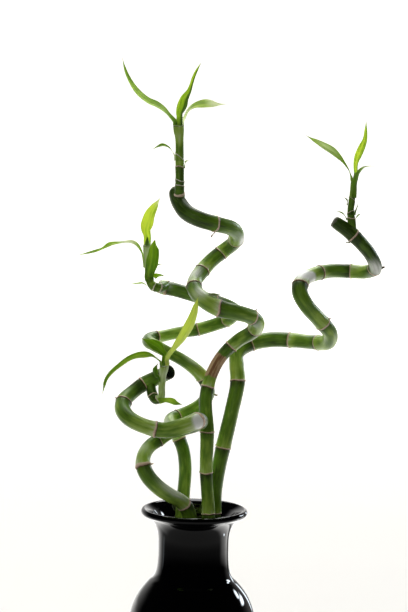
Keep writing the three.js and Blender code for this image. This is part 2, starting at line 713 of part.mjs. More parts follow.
// The bed's top as rings from the wall to the middle, lifted by a clearance.
function bedTopRings(lift) {
  return Array.from({ length: BED_RINGS }, (_, ring) => {
    const radius = bedRadius * (1 - ring / (BED_RINGS - 0.4));
    return Array.from({ length: VASE_SIDES }, (_, side) => {
      const angle = (2 * Math.PI * side) / VASE_SIDES;
      const [x, y] = [radius * Math.cos(angle), radius * Math.sin(angle)];
      return new THREE.Vector3(x, y, bedHeight(x, y) + lift);
    });
  });
}

const caneHoles = Object.keys(CANES).map((name) => caneGeometry(name, GAP));

function gravelGeometry() {
  const side = fillingSide(FLOOR_HEIGHT + GAP, GRAVEL_HEIGHT - PEBBLE_RADIUS);
  return cut(loft([...latheRings(side, VASE_SIDES), ...bedTopRings(0)]), caneHoles);
}

// Its underside has the bed's own facets, so its rings run down the wall and in over the bed.
function waterGeometry() {
  const side = fillingSide(GRAVEL_HEIGHT + 2 * GAP, WATER_HEIGHT).reverse();
  return cut(loft([...latheRings(side, VASE_SIDES), ...bedTopRings(GAP)]), caneHoles);
}

// The whole object

const plant = new THREE.Group();

function addPiece(name, geometry, finish) {
  const mesh = new THREE.Mesh(geometry, finish);
  mesh.name = name;
  plant.add(mesh);
}

addPiece("vase", vaseGeometry(), GLAZE);
addPiece("gravel", gravelGeometry(), PEBBLE);
addPiece("water", waterGeometry(), WATER);
for (const name of Object.keys(CANES)) {
  addPiece("cane_" + name, caneGeometry(name), BARK);
  addPiece("seal_" + name, sealGeometry(name), WAX);
  addPiece("stem_" + name, stemGeometry(name), SHEATH);
}
for (const [name, leaf] of Object.entries(LEAVES)) {
  addPiece("leaf_" + name, leafGeometry(leaf), BLADE);
}

export default plant;
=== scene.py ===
# Lucky bamboo in a black glazed vase: four trained canes with leaf scars, a wax-sealed cut end and
# one leafy shoot each. Tables are in millimetres, in the frame of the model; meshes are in metres.
import itertools
import math

import bmesh
import bpy
import numpy as np
from mathutils import Matrix, Vector


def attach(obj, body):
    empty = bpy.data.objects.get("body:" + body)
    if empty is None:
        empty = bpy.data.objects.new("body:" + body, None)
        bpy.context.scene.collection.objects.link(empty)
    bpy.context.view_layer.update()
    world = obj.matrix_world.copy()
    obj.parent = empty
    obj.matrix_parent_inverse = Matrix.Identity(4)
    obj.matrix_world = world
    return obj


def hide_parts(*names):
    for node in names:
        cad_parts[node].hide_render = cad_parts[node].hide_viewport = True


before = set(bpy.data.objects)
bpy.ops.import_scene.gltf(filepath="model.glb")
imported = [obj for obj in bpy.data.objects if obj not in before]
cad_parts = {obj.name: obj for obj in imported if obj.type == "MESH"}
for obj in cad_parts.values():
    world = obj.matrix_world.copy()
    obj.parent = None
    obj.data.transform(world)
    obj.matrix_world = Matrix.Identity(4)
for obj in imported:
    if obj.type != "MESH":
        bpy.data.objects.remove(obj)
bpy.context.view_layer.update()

MM = 0.001

# Canes, from the foot up. line: x, y, z and the cane's radius. rings: distance of each leaf scar
# along the line and the breadth of its scar. tones: one for each internode, from -1, dark, to 1, pale.

CANES = {
    "a": {
        "line": [
            [-9, -10, 6.5, 6], [-8, -10, 70, 6.1], [-5, -10, 135, 6.3], [-3.5, -12, 176.5, 6.6],
            [-6.5, -16, 188, 6.5], [-12.5, -21, 195.5, 6.5], [-22.5, -27, 202, 6.6],
            [-33.5, -31, 210.5, 6.7], [-41.5, -31, 219.5, 6.7], [-45.5, -27, 228, 6.5],
            [-45, -20, 235.5, 6.3], [-40.5, -12, 242, 6.3], [-32.5, -6, 247, 6.2],
            [-22, -5, 254, 6.2], [-11.5, -7, 257.5, 6.4], [-1, -14, 262, 6.6], [4, -24, 266.5, 6.8],
            [1.5, -35, 269, 7], [-10, -42, 265.5, 7], [-26.5, -44, 261.5, 6.9],
            [-44, -43, 264.5, 6.9], [-57.5, -37, 270, 7], [-64, -28, 276.5, 7],
            [-63, -18, 283.5, 6.8], [-57, -10, 289, 6.4], [-47.5, -5, 296, 6.5],
            [-38, -5, 301, 6.6], [-30, -10, 305.5, 6.6], [-25, -17, 309, 6.6],
        ],
        "rings": [(188, 2.2), (243, 2.4), (277, 1.0), (339, 1.9), (378, 1.7), (426, 1.0), (454, 1.1)],
        "tones": [0, 0.15, 0.45, 0.05, 0.5, 0.2, -0.35, -0.5],
    },
    "b": {
        "line": [
            [-13, 10, 6.5, 5.6], [-13, 10, 70, 5.8], [-11.5, 9, 135, 5.9], [-11, 8, 178, 5.9],
            [-10, 9, 196, 5.9], [-9, 9, 219.5, 5.8], [-11.5, 9, 237.5, 5.9], [-17.5, 12, 250.5, 6],
            [-23, 19, 257.5, 6], [-22, 28, 261, 5.9], [-14, 34, 264, 5.8], [-4, 35, 268.5, 5.9],
            [5, 31, 275.5, 6], [10, 25, 284.5, 6], [8.5, 19, 295, 5.9], [1.5, 15, 305, 5.8],
            [-11, 12, 315, 5.6], [-26.5, 10, 323.5, 5.6], [-37.5, 11, 329, 5.8],
            [-44, 18, 332, 5.9], [-42.5, 27, 334, 5.8], [-32.5, 34, 335.5, 5.6],
            [-19, 38, 338.5, 5.5], [0, 40, 342, 5.6], [16, 39, 347, 5.7], [28.5, 32, 353, 5.9],
            [33, 22, 360.5, 6.1], [26.5, 13, 365.5, 6.2], [12, 9, 370.5, 6.3], [-6, 12, 375.5, 6.4],
            [-22, 15, 379.5, 6.4], [-35, 17, 381.5, 6.3],
        ],
        "rings": [
            (240, 1.0), (275, 1.1), (334, 1.0), (412, 1.1), (451, 1.0), (479, 1.0), (523, 1.0),
            (569, 2.4),
        ],
        "tones": [0.05, 0.5, -0.05, 0.15, 0.25, -0.1, 0, -0.4, -0.2],
    },
    "c": {
        "line": [
            [9, -6, 6.5, 5.8], [10, -6, 70, 5.8], [12, -5.5, 135, 5.9], [13, -5, 180, 5.9],
            [10, -4, 218, 5.9], [10, -2, 254, 6], [8, 0, 284.5, 5.9], [13, 4, 305.5, 5.6],
            [22, 9, 321.5, 5.7], [36, 12, 335, 6.2], [48.5, 5, 344, 6.3], [52.5, -7, 352.5, 6.4],
            [47, -19, 359, 6.5], [33.5, -28, 363.5, 6.9], [18, -31, 367, 7.3], [5.5, -26, 373, 7.3],
            [-3, -15, 380.5, 6.9], [-3.5, -2, 388.5, 6.6], [3, 9, 397.5, 6.5],
            [11.5, 16, 406.5, 6.5], [22, 19, 415, 6.6], [30.5, 13, 422.5, 6.7], [32.5, 2, 430, 6.7],
            [27, -11, 436, 6.8], [14.5, -21, 439.5, 7], [0, -25, 443.5, 7.4],
            [-11.5, -22, 449, 7.3], [-18, -15, 456.5, 6.8], [-21, -8, 463, 6.5],
            [-21.5, -5, 469, 6.4],
        ],
        "rings": [
            (175, 1.0), (212, 1.0), (248, 1.0), (289, 1.1), (331, 1.2), (361, 1.0), (387, 1.3),
            (420, 1.2), (458, 1.1), (482, 1.0), (507, 1.1), (528, 1.0), (571, 1.3),
        ],
        "tones": [0, 0, 0.4, -0.25, 0, 0.1, 0.45, -0.1, 0.3, 0.5, 0, 0.2, 0.1, -0.8],
    },
    "d": {
        "line": [
            [12, 11, 6.5, 6.2], [13, 10.5, 70, 6.3], [15, 10, 135, 6.4], [18, 9, 177.5, 6.4],
            [18.5, 9, 200, 6.4], [21, 10, 220, 6.5], [24.5, 12, 238, 6.6], [31.5, 15, 270, 6.6],
            [36.5, 19, 297, 6.8], [35.5, 24, 311, 6.9], [36, 31, 321.5, 6.6], [46.5, 38, 329, 6.6],
            [65, 41, 333.5, 6.9], [85.5, 37, 334, 6.8], [104, 28, 333.5, 6.6], [116, 13, 335.5, 6.9],
            [116.5, -1, 345.5, 6.9], [105.5, -13, 358.5, 6.8], [94.5, -20, 370.5, 6.8],
            [88.5, -19, 381.5, 7], [90.5, -9, 390.5, 6.8], [101, 4, 396, 6.5], [116.5, 15, 399, 6.4],
            [135, 19, 399, 6.3], [148.5, 13, 399, 6.1], [155.5, 1, 403.5, 6], [151, -9, 414, 5.7],
            [141, -15, 425.5, 6], [131, -18, 434.5, 6.1], [117, -18, 444, 5.6],
        ],
        "rings": [
            (173, 1.0), (233, 1.1), (294, 1.1), (338, 1.2), (374, 1.2), (403, 1.0), (448, 1.2),
            (494, 1.1), (526, 1.1), (556, 1.0), (583, 1.1), (628, 1.2),
        ],
        "tones": [0, -0.1, 0, 0.25, -0.1, 0.2, 0.2, 0, 0.6, -0.15, 0.25, -0.9, -1.0],
    },
}

# The dry brown patch that runs round one internode: its cane, its middle and its half length
DRY_CANE = "c"
DRY_MIDDLE = 308.5
DRY_HALF = 11.5

# Each shoot's stem, from inside its cane up. line: x, y, z and radius. mouth and mouth_radius: the
# distance of its open end and the radius there. rings: distance, breadth, how much higher the edge is
# on its high side, where that side is in degrees, and how pale the edge is from 0 to 1. tones: as for
# the canes.

STEMS = {
    "a": {
        "line": [
            [-40.5, -7, 296, 4], [-39, -14, 289, 4.5], [-35.5, -19, 284.5, 4], [-31, -21, 287, 3.2],
            [-30.5, -23, 296.5, 3], [-29.5, -27.5, 308, 3.1], [-28.5, -28, 315.5, 3.9],
            [-28, -28, 321, 2.2], [-28, -28, 327, 1],
        ],
        "mouth": 54, "mouth_radius": 3.9,
        "rings": [(12.5, 0.7, 0.8, 200, 0.3), (20, 0.6, 0.8, 20, 0.4)],
        "tones": [-1.0, -0.9, 0.9],
    },
    "b": {
        "line": [
            [-29.5, 12, 383.5, 4], [-34.5, 3.5, 381.5, 4.3], [-41, 0.5, 383.5, 4], [-44, 1, 390, 3.4],
            [-45.5, 3, 400.5, 3.1], [-46.5, 4, 411, 3.1], [-46.5, 4, 419.5, 3.5],
            [-46.5, 4, 425.5, 2], [-46.5, 4, 431.5, 1],
        ],
        "mouth": 54.5, "mouth_radius": 3.6,
        "rings": [(11, 0.8, 0.8, 180, 0.5), (17.5, 0.7, 1, 0, 0.8), (24, 0.6, 1, 200, 0.6)],
        "tones": [-0.3, 0.0, 0.4, 1.1],
    },
    "c": {
        "line": [
            [-19.5, -9, 457, 4.2], [-18.5, -13, 462, 4.8], [-18.5, -15, 468.5, 4.2],
            [-18.5, -15, 479, 3.9], [-19, -13, 494.5, 3.8], [-19.5, -11, 512, 3.7],
            [-20.5, -10, 523.5, 4.7], [-20.5, -10, 529.5, 2.6], [-20, -10, 538, 1],
        ],
        "mouth": 70, "mouth_radius": 4.8,
        "rings": [
            (10.3, 2.2, 1.4, 60, 0.1), (17.5, 0.6, 0.6, 180, 0.8), (22, 0.7, 1.2, 150, 0.9),
            (33.5, 0.9, 0.4, 180, 0.1), (42.5, 0.8, 3.4, 180, 0.7),
        ],
        "tones": [-0.4, -0.6, -0.7, -0.5, 0.4, 0.3],
    },
    "d": {
        "line": [
            [133, -17, 438, 3.4], [132, -17, 444, 3.6], [131, -16, 454, 3], [132, -15, 464, 2.8],
            [132.5, -15, 473.5, 2.4], [133.5, -15, 480.5, 2.7], [133.5, -15, 484.5, 1.8],
            [134, -15, 491.5, 0.9],
        ],
        "mouth": 42.5, "mouth_radius": 2.8,
        "rings": [(9, 0.6, 0.8, 180, 0.2), (15, 0.5, 1, 0, 0.3), (26, 0.4, 2, 190, 0.4)],
        "tones": [-0.5, -0.45, -0.3, -0.1],
    },
}

# Leaves, each named after its shoot. height and side: where the base leaves its stem, and on which
# side in degrees about +Z. clasp: how far it clasps the stem upwards. face: where the upper face looks
# at the tip. rib: x, y, z and half width beyond the base. tones: colour at the base, middle and tip,
# from -1, dark, to 1, bright yellow-green. Where they differ from 0 and FOLD, halves: painted light and
# shade added to the tone on the left and right half, and fold: how far the halves are folded up, as a
# share of their width. pale: shares of the length and how much painted sheen, a pale wash of
# light glancing off the blade, washes it out there.

LEAVES = {
    "a_1": {
        "height": 318.5, "side": -20, "clasp": 3, "face": [-0.45, 0.8, 0.35],
        "rib": [
            [-24, -29.5, 323.5, 5], [-18.5, -31.5, 332, 5.4], [-12.5, -33.5, 341, 5.6],
            [-7.5, -35.5, 350.5, 5.2], [-3.5, -37, 362.5, 4], [-1.5, -38, 371.5, 2.2],
            [0, -38.5, 378, 0.5],
        ],
        "tones": [0.9, 1.2, 0.9], "fold": 0.12,
        "pale": [(0, 0.1), (0.2, 0.3), (1, 0.2)],
    },
    "a_2": {
        "height": 317.5, "side": 190, "clasp": 1, "face": [0, -0.56, 0.83],
        "rib": [
            [-36.5, -29.5, 322.5, 2.6], [-41.5, -31, 325, 3], [-49, -33, 325, 3.5],
            [-57.5, -35, 322.5, 3.1], [-66.5, -37, 316.5, 2.6], [-74, -38, 310, 2.2],
            [-78.5, -38.5, 303.5, 1.6], [-80.3, -38.5, 296.5, 1], [-81.5, -38.5, 291, 0.4],
        ],
        "tones": [0.1, 0.2, -0.6], "halves": [0.1, -0.2],
    },
    "a_3": {
        "height": 322, "side": 100, "clasp": 3, "face": [0.4, -0.85, 0.35],
        "rib": [
            [-31, -23.5, 327.5, 4], [-35, -22.5, 331, 5.6], [-40, -23, 334, 4.6],
            [-45, -24, 337, 2.6], [-49, -24.5, 339, 0.5],
        ],
        "tones": [-0.5, -0.4, -0.3], "halves": [-0.1, 0.1], "fold": 0.2,
    },
    "a_4": {
        "height": 285.5, "side": -60, "clasp": 1, "face": [-0.1, 0.85, 0.5],
        "rib": [
            [-27.5, -26, 285, 2.6], [-22.5, -28, 284.5, 3.6], [-17.5, -29, 283.2, 3],
            [-12, -30, 282.2, 0.5],
        ],
        "tones": [0.5, 0.8, -0.5], "halves": [0, -0.1],
    },
    "a_5": {
        "height": 303, "side": 200, "clasp": 2, "face": [0.5, 0.85, 0.1],
        "rib": [
            [-36.3, -27.2, 307, 3], [-36.8, -28.3, 310.5, 3.2], [-36, -28.8, 314, 2.2],
            [-34, -28.5, 317.8, 0.4],
        ],
        "tones": [-0.6, -0.6, -0.5],
    },
    "b_1": {
        "height": 423, "side": 90, "clasp": 4, "face": [-0.3, -0.85, 0.4],
        "rib": [
            [-47.5, 9, 432, 5.6], [-46.5, 11, 438.5, 6], [-44, 13, 446.5, 5.2],
            [-40.5, 14, 453.5, 3.6], [-37.5, 14, 458.5, 1.5], [-35, 14, 462, 0.4],
        ],
        "tones": [0.9, 1.15, 0.95], "halves": [0.1, -0.15],
        "pale": [(0, 0.5), (0.1, 0.2), (0.3, 0), (0.75, 0.1), (0.9, 0.7), (1, 0.9)],
    },
    "b_2": {
        "height": 388, "side": -90, "clasp": 3, "face": [0.3, 0.9, 0.1],
        "rib": [
            [-43.6, -4, 396.5, 5.2], [-42.2, -6, 404, 6], [-40.7, -6.5, 412.5, 5.2],
            [-40.5, -6, 419.5, 4.2], [-39.2, -5, 424.5, 1.6],
        ],
        "tones": [-0.2, -0.1, 0.0], "halves": [-0.1, 0.15], "fold": 0.15,
    },
    "b_3": {
        "height": 390, "side": 20, "clasp": 0.8, "face": [-0.2, -0.5, 0.85],
        "rib": [[-36.5, 3, 392, 2.6], [-33, 2.5, 392.5, 1.6], [-30, 2, 392, 0.4]],
        "tones": [0.2, 0.2, -0.3],
    },
    "b_4": {
        "height": 385.5, "side": 175, "clasp": 0.6, "face": [0, -0.4, 0.9],
        "rib": [[-50, 0, 385.5, 1.6], [-55.5, -2, 385, 1.4], [-61.5, -4, 386, 0.4]],
        "tones": [0, 0.3, 0.4],
        "pale": [(0, 0.4), (1, 0.4)],
    },
    "b_5": {
        "height": 396, "side": 50, "clasp": 1, "face": [-0.3, -0.4, 0.85],
        "rib": [[-40, 8.5, 400, 2], [-36.5, 10.5, 401.5, 1.6], [-32.5, 11.5, 402, 0.4]],
        "tones": [-0.3, -0.4, -0.6],
    },
    "b_6": {
        "height": 400, "side": 170, "clasp": 7, "face": [0, -0.5, 0.86],
        "rib": [
            [-51.5, 3, 412.5, 2.6], [-54.5, 1, 417.5, 3.2], [-58.5, -2, 421, 2.8],
            [-62.5, -5, 422, 1.9], [-69, -8.5, 421.5, 1.6], [-78, -12.5, 419.5, 3.3],
            [-85, -15.5, 416, 1.6], [-91.5, -17, 413.5, 2], [-106, -19, 410, 0.4],
        ],
        "tones": [0.3, 0.5, 0.2], "halves": [0, -0.1], "fold": 0.08,
        "pale": [(0, 0.6), (0.2, 0.1), (0.34, 0.8), (0.45, 0.9), (0.54, 0.1), (1, 0.1)],
    },
    "c_1": {
        "height": 526, "side": 200, "clasp": 1, "face": [0.45, 0.75, 0.48],
        "rib": [
            [-28.3, -12, 531.5, 4.2], [-33.8, -14, 537, 4.8], [-40.3, -16, 541.5, 4.5],
            [-47.5, -18, 545, 3.8], [-54.5, -20, 550.5, 3.2], [-60.5, -21, 557.5, 2.7],
            [-65, -22, 565.5, 2], [-68, -22, 574, 1.2], [-70, -22, 581.5, 0.4],
        ],
        "tones": [0.35, 0.4, -0.1], "halves": [-0.4, 0.2], "fold": 0.12,
        "pale": [(0, 0), (0.12, 0.1), (0.25, 0.4), (0.4, 0.3), (0.55, 0.35), (1, 0.1)],
    },
    "c_2": {
        "height": 530.5, "side": -65, "clasp": 2, "face": [-0.25, 0.9, 0.35],
        "rib": [
            [-18.9, -13.6, 535.5, 4.4], [-17.1, -12.6, 541, 5.1], [-15.3, -11, 547.5, 4.1],
            [-12, -9.5, 554, 2.5], [-10, -8.5, 560.5, 1.6], [-8, -7.5, 567, 1.5],
            [-5, -6.5, 574, 1.1], [-1.5, -6, 580.5, 0.4],
        ],
        "tones": [-0.1, 0.0, 0.1], "halves": [-0.8, 0.55], "fold": 0.3,
    },
    "c_3": {
        "height": 526.5, "side": 55, "clasp": 1, "face": [-0.2, -0.9, 0.45],
        "rib": [
            [-15.5, -3, 532, 1.6], [-12.5, 0, 538, 1.6], [-6.5, 4, 542.5, 3], [0.5, 7, 544, 4.6],
            [7.5, 10, 544.5, 3.9], [14.5, 12, 544.5, 1.4], [23, 14, 545, 0.4],
        ],
        "tones": [0, 0.4, 0.2], "halves": [-0.3, 0.4], "fold": 0.08,
        "pale": [(0, 0.95), (0.32, 0.95), (0.44, 0.45), (0.62, 0.45), (0.76, 0.95), (1, 0.95)],
    },
    "c_4": {
        "height": 494, "side": 195, "clasp": 4, "face": [0.1, -0.6, 0.8],
        "rib": [
            [-25.6, -14, 502, 1.2], [-28.5, -15.5, 505.2, 1.4], [-33.5, -18, 507, 2.3],
            [-38.5, -19, 505.5, 1.7], [-42.5, -20, 503, 0.4],
        ],
        "tones": [0.5, -0.1, -0.3],
        "pale": [(0, 0.9), (0.3, 0.85), (0.45, 0.1), (1, 0.2)],
    },
    "c_5": {
        "height": 487.5, "side": -15, "clasp": 3, "face": [-0.3, -0.5, 0.8],
        "rib": [[-13.4, -15.6, 493.4, 1.5], [-10.2, -16, 494.2, 0.4]],
        "tones": [0.2, 0, -0.3],
        "pale": [(0, 0.3), (0.6, 0.6), (1, 0.6)],
    },
    "d_1": {
        "height": 481, "side": 185, "clasp": 1, "face": [0.4, -0.75, 0.5],
        "rib": [
            [128.8, -17, 487.5, 2], [124.6, -20, 493.5, 2.6], [118.8, -22, 499.5, 3.6],
            [112, -24, 505, 4.4], [105, -25, 509, 3.7], [96.5, -26, 514, 2.2],
            [89.5, -26, 518, 0.4],
        ],
        "tones": [-0.1, 0.1, 0.3], "halves": [0.2, -0.3], "fold": 0.12,
        "pale": [(0, 0), (0.3, 0.15), (0.5, 0.45), (0.7, 0.6), (0.85, 0.4), (1, 0.2)],
    },
    "d_2": {
        "height": 484, "side": 30, "clasp": 3, "face": [-0.5, -0.8, 0.2],
        "rib": [
            [135.6, -12.5, 494, 3.4], [137.3, -11, 501, 3.9], [140.3, -10, 509, 3.6],
            [142.5, -9, 516, 2.3], [143, -8.5, 522, 1.6], [143, -8, 532.5, 0.4],
        ],
        "tones": [0.5, 0.8, 0.6], "halves": [0.1, -0.2], "fold": 0.2,
    },
    "d_3": {
        "height": 465, "side": -50, "clasp": 6, "face": [-0.45, 0.5, 0.75],
        "rib": [
            [134.4, -20, 479, 3.4], [137, -21, 487, 3], [141, -22.5, 491.5, 1.8],
            [145, -24, 492.5, 1], [151, -26, 492.5, 0.4],
        ],
        "tones": [-0.4, -0.3, -0.5], "halves": [0, 0.1], "fold": 0.15,
        "pale": [(0, 0), (0.6, 0.1), (0.75, 0.6), (0.9, 0.8), (1, 0.1)],
    },
    "d_4": {
        "height": 446, "side": 195, "clasp": 0.6, "face": [0.2, -0.5, 0.85],
        "rib": [[125.5, -19, 449.5, 1.7], [123, -20.5, 451.5, 1.4], [117.5, -23, 453.5, 0.4]],
        "tones": [-0.3, -0.2, -0.4],
    },
    "d_5": {
        "height": 446.5, "side": 10, "clasp": 0.6, "face": [-0.4, -0.5, 0.8],
        "rib": [[138, -16, 450, 1.2], [140, -16.5, 451, 0.4]],
        "tones": [-0.5, -0.5, -0.6],
    },
    "d_6": {
        "height": 449.5, "side": -40, "clasp": 1, "face": [-0.7, 0.3, 0.6],
        "rib": [[135.5, -19.5, 454.5, 1.5], [136.5, -20, 457.5, 1.3], [136.5, -20, 460.5, 0.4]],
        "tones": [-0.5, -0.3, -0.2],
    },
    "d_7": {
        "height": 458, "side": 190, "clasp": 1, "face": [0.5, -0.5, 0.7],
        "rib": [[127.5, -16.5, 462.5, 1.6], [124.5, -17.5, 465.5, 0.4]],
        "tones": [-0.6, -0.6, -0.6],
    },
}

# Buds, dry leaf remnants and scales on the canes: distance along the cane, the direction from its
# line on which it sits, the direction in which it points, its length, half width and tone.

SCALES = {
    "a": [
        (241.5, (1, -0.4, 0.1), (0.6, -0.2, 0.4), 3.4, 1.0, "dry"),
        (426.0, (-0.4, 0.6, 0.7), (-0.4, 0, 1), 2.6, 1.1, "dry"),
    ],
    "b": [
        (314, (1, 0.2, -0.1), (0.6, -0.1, -0.5), 3.2, 1.4, "dry"),
        (333, (1, -0.2, 0.6), (0.5, 0, 0.9), 3.0, 1.3, "dry"),
    ],
    "c": [
        (569.5, (0, -0.3, -1), (-0.7, -0.2, -0.5), 6.0, 2.0, "dry"),
        (386.0, (0.1, -0.3, 1), (0, -0.2, 1), 2.6, 1.0, "dark"),
        (434.0, (0.1, -0.2, 1), (0.95, 0.1, -0.15), 12.0, 2.3, "bud"),
    ],
    "d": [
        (626.0, (-0.6, -0.3, -0.6), (-0.9, -0.3, -0.1), 5.0, 1.7, "bud"),
        (583.5, (1, -0.3, 0.3), (1, -0.2, 0.7), 4.4, 1.4, "dark"),
        (336.0, (-0.6, -0.8, 0.1), (-0.8, -0.3, -0.3), 4.4, 1.6, "dark"),
        (448.0, (0.9, -0.2, 0.4), (0.6, 0, 0.8), 2.2, 0.9, "dry"),
    ],
}

# Painted highlights on the canes, pale washes where light glances off them: distance along the cane, the
# side on which it lies, how far it reaches along the cane and how pale it is. Its edge runs out softly
# round the cane.

PAINTED_HIGHLIGHTS = {
    "a": [
        (342, (0.9, -0.4, 0.2), 5, 1.5), (258, (-0.3, -0.7, 0.6), 9, 0.35),
        (206, (0.2, -0.4, 0.9), 26, 0.55), (290, (0.3, 0.2, 0.9), 14, 0.25),
        (381, (0.9, 0.1, 0.3), 10, 0.5),
    ],
    "b": [
        (405, (-1, -0.3, 0.1), 12, 0.8), (352, (0.8, -0.1, 0.5), 12, 0.45),
        (252, (-0.9, -0.3, 0.3), 13, 0.6), (523, (1, -0.4, 0.1), 9, 0.5),
        (569, (0.2, -0.8, 0.6), 8, 0.4),
    ],
    "c": [
        (470, (-0.4, -0.8, 0.5), 13, 0.6), (531, (1, -0.3, 0.1), 9, 1.1), (352, (1, -0.3, 0.2), 16, 0.9),
        (395, (-0.9, -0.3, 0.3), 16, 0.25), (440, (-0.1, -0.7, 0.7), 9, 0.5),
    ],
    "d": [
        (503, (-0.3, -0.8, 0.5), 8, 1.2), (507, (0.6, -0.8, -0.2), 5.5, 1.8),
        (428, (-0.7, -0.2, 0.7), 14, 0.12), (470, (0.1, -0.8, 0.6), 12, 0.2),
        (391, (0.8, -0.3, -0.5), 10, 0.7), (592, (0.2, -0.3, -0.9), 11, 0.7),
        (526, (0, -0.9, 0.4), 6, 0.25),
    ],
}

# The share of each cane's width that is left at its rounded cut end
END_WIDTH = {"a": 0.95, "b": 0.93, "c": 0.72, "d": 0.9}

# Wax on the cut ends: how light it is, from 0, nearly black, to 1, grey-green
WAX_TONES = {"a": 0.0, "b": 0.85, "c": 0.5, "d": 0.15}

SCALE_TONES = {"bud": 0.0, "dry": 1.0, "dark": 2.0}

# The vase, as radii and heights: under its foot, up the outer wall, round the lip, down the inner
# wall and over the floor

FOOT = [
    (0.05, 3.2), (12, 3.2), (27, 3.1), (31, 2.8), (32, 1.6), (32.6, 0.5), (33.4, 0.05), (34.5, 0),
    (36.2, 0), (37.1, 0.25),
]
OUTER_WALL = [
    [37.5, 0], [41.5, 5], [51, 28], [56.5, 50], [58, 70], [55.8, 90], [52.1, 101], [48.2, 108.2],
    [43.9, 114], [39.8, 118.6], [35.8, 122.4], [33.3, 127.6], [32, 135.5], [31.5, 148], [32, 161],
    [34.5, 170], [39.2, 176.2], [44.8, 179.4],
]
INNER_WALL = [
    [36.8, 181.6], [30.5, 173], [28.2, 162], [27.5, 148], [27.9, 136], [29.2, 127.2], [32.6, 120.4],
    [38.4, 113.6], [44.6, 105.6], [51.1, 91], [54, 70], [52.5, 50], [47, 28], [35.5, 10], [29.5, 6],
]
LIP_CENTRE = (44.8, 182.2)
LIP_RADIUS = 2.8
INNER_FLOOR = [(24, 5.9), (12, 5.85), (0.05, 5.85)]

# Driving dimensions, in mm where nothing else is said

CANE_SIDES = 44
CANE_STEP = 1.3  # between cross-sections away from the rings
RING_STEP = 0.3  # between cross-sections at a ring
RING_REACH = 2.7  # how far from a ring the close cross-sections go
RING_RISE = 0.5  # of the sharp ridge at each ring
SWELLING = 0.28  # of a cane's radius about each ring
WAIST = 0.14  # taken off a cane's radius between the rings
FIRST_INTERNODE = 60  # the whole length of the cut internode below the first ring
LAST_INTERNODE = 45
END_REACH = 4.5  # the stretch over which a cane's cut end is rounded over
FOOT_BEVEL = 0.5  # at a cane's foot
CANE_SHIFT = 700  # along the noise, from one cane to the next
STEM_SHIFT = 900
LEAF_SHIFT = 90  # along the noise, times a random number below LEAF_PLACES
LEAF_PLACES = 50
SEAL_THICKNESS = 1.0
SEAL_GAP = 0.3  # between a cane's cut end and the dome of wax
STEM_SIDES = 32
STEM_STEP = 0.5  # between cross-sections of a stem's core, and twice that outside
MOUTH_LIP = 0.22  # thickness of the sheath round a stem's mouth
MOUTH_DEPTH = 3.0  # of the cup that the core stands in
CORE_SHARE = 0.6  # of the stem's line above the mouth, up to which its pointed core goes
BLADE_THICKNESS = 0.36  # along the rib
SOLID_BLADE = 0.8  # thickness of the blade in the frame, whose middle this blade keeps
BLADE_GAP = 0.5  # between a leaf's base and its stem
SUNK_DEPTH = 2.6  # of a root inside the stem's mouth
CLASP_ANGLE = 1.1  # radians on either side of the rib that a leaf's base clasps its stem
CHANNEL = 2.2  # radius across an open blade, in half widths
UNROLL = 14  # the stretch above the clasp over which a blade opens
FOLD = 0.1  # of a leaf whose table gives none
LEAF_ROW = 1.1  # between a leaf's cross-sections
LEAF_COLUMNS = 20
DRY_TIP = 3.5  # of each leaf
SCALE_ROWS = 15
SCALE_COLUMNS = 9
SCALE_ROOT = 0.3  # how deep a scale is rooted in its cane
SCALE_HALF = 0.16  # half of a scale's thickness
VASE_SIDES = 144
WATER_SIDES = 120
WATER_HEIGHT = 150
WATER_GAP = 0.12  # between the water and the wall
WALL_MENISCUS = 1.0  # rise of the water's edge at the wall
CANE_MENISCUS = 0.8
GRAVEL_HEIGHT = 46
PEBBLE_SPACE = 10.4  # between the middles of neighbouring pebbles
ROW_STEP = 0.87  # between rows of pebbles, in pebble spaces, as the next two
LAYER_STEP = 0.8
LAYER_SHIFT = 0.33  # of each layer on the one below
FLOOR_HEIGHT = 6
FLOOR_GAP = 0.4  # between the vase's floor and what lies on it

# Small tools


def smoothstep(value, low, high):
    share = np.clip((value - low) / (high - low), 0, 1)
    return share * share * (3 - 2 * share)


def bell(value, width):
    """1 at zero, falling away smoothly on both sides."""
    return np.exp(-((value / width) ** 2))


def unit(vectors):
    vectors = np.asarray(vectors, float)
    return vectors / np.linalg.norm(vectors, axis=-1, keepdims=True)


def circle(sides):
    """Even angles round a circle."""
    return np.linspace(0, 2 * math.pi, sides, endpoint=False)


def spokes(angles, across, beside):
    """The directions at these angles between two axes."""
    return np.cos(angles)[:, None] * across + np.sin(angles)[:, None] * beside


def eased(start, end, leaving, arriving, t):
    """A cubic curve from start to end with these slopes."""
    return (start + leaving * t + (3 * (end - start) - 2 * leaving - arriving) * t**2
            + (2 * (start - end) + leaving + arriving) * t**3)


class Waves:
    """A smooth uneven curve round a circle: a sum of a few waves with seeded sizes."""

    def __init__(self, *sizes):
        self.terms = [(n + 1, size * draw.normal(1, 0.25), draw.uniform(0, 2 * math.pi))
                      for n, size in enumerate(sizes)]

    def __call__(self, angle):
        return sum(size * np.cos(n * angle - phase) for n, size, phase in self.terms)


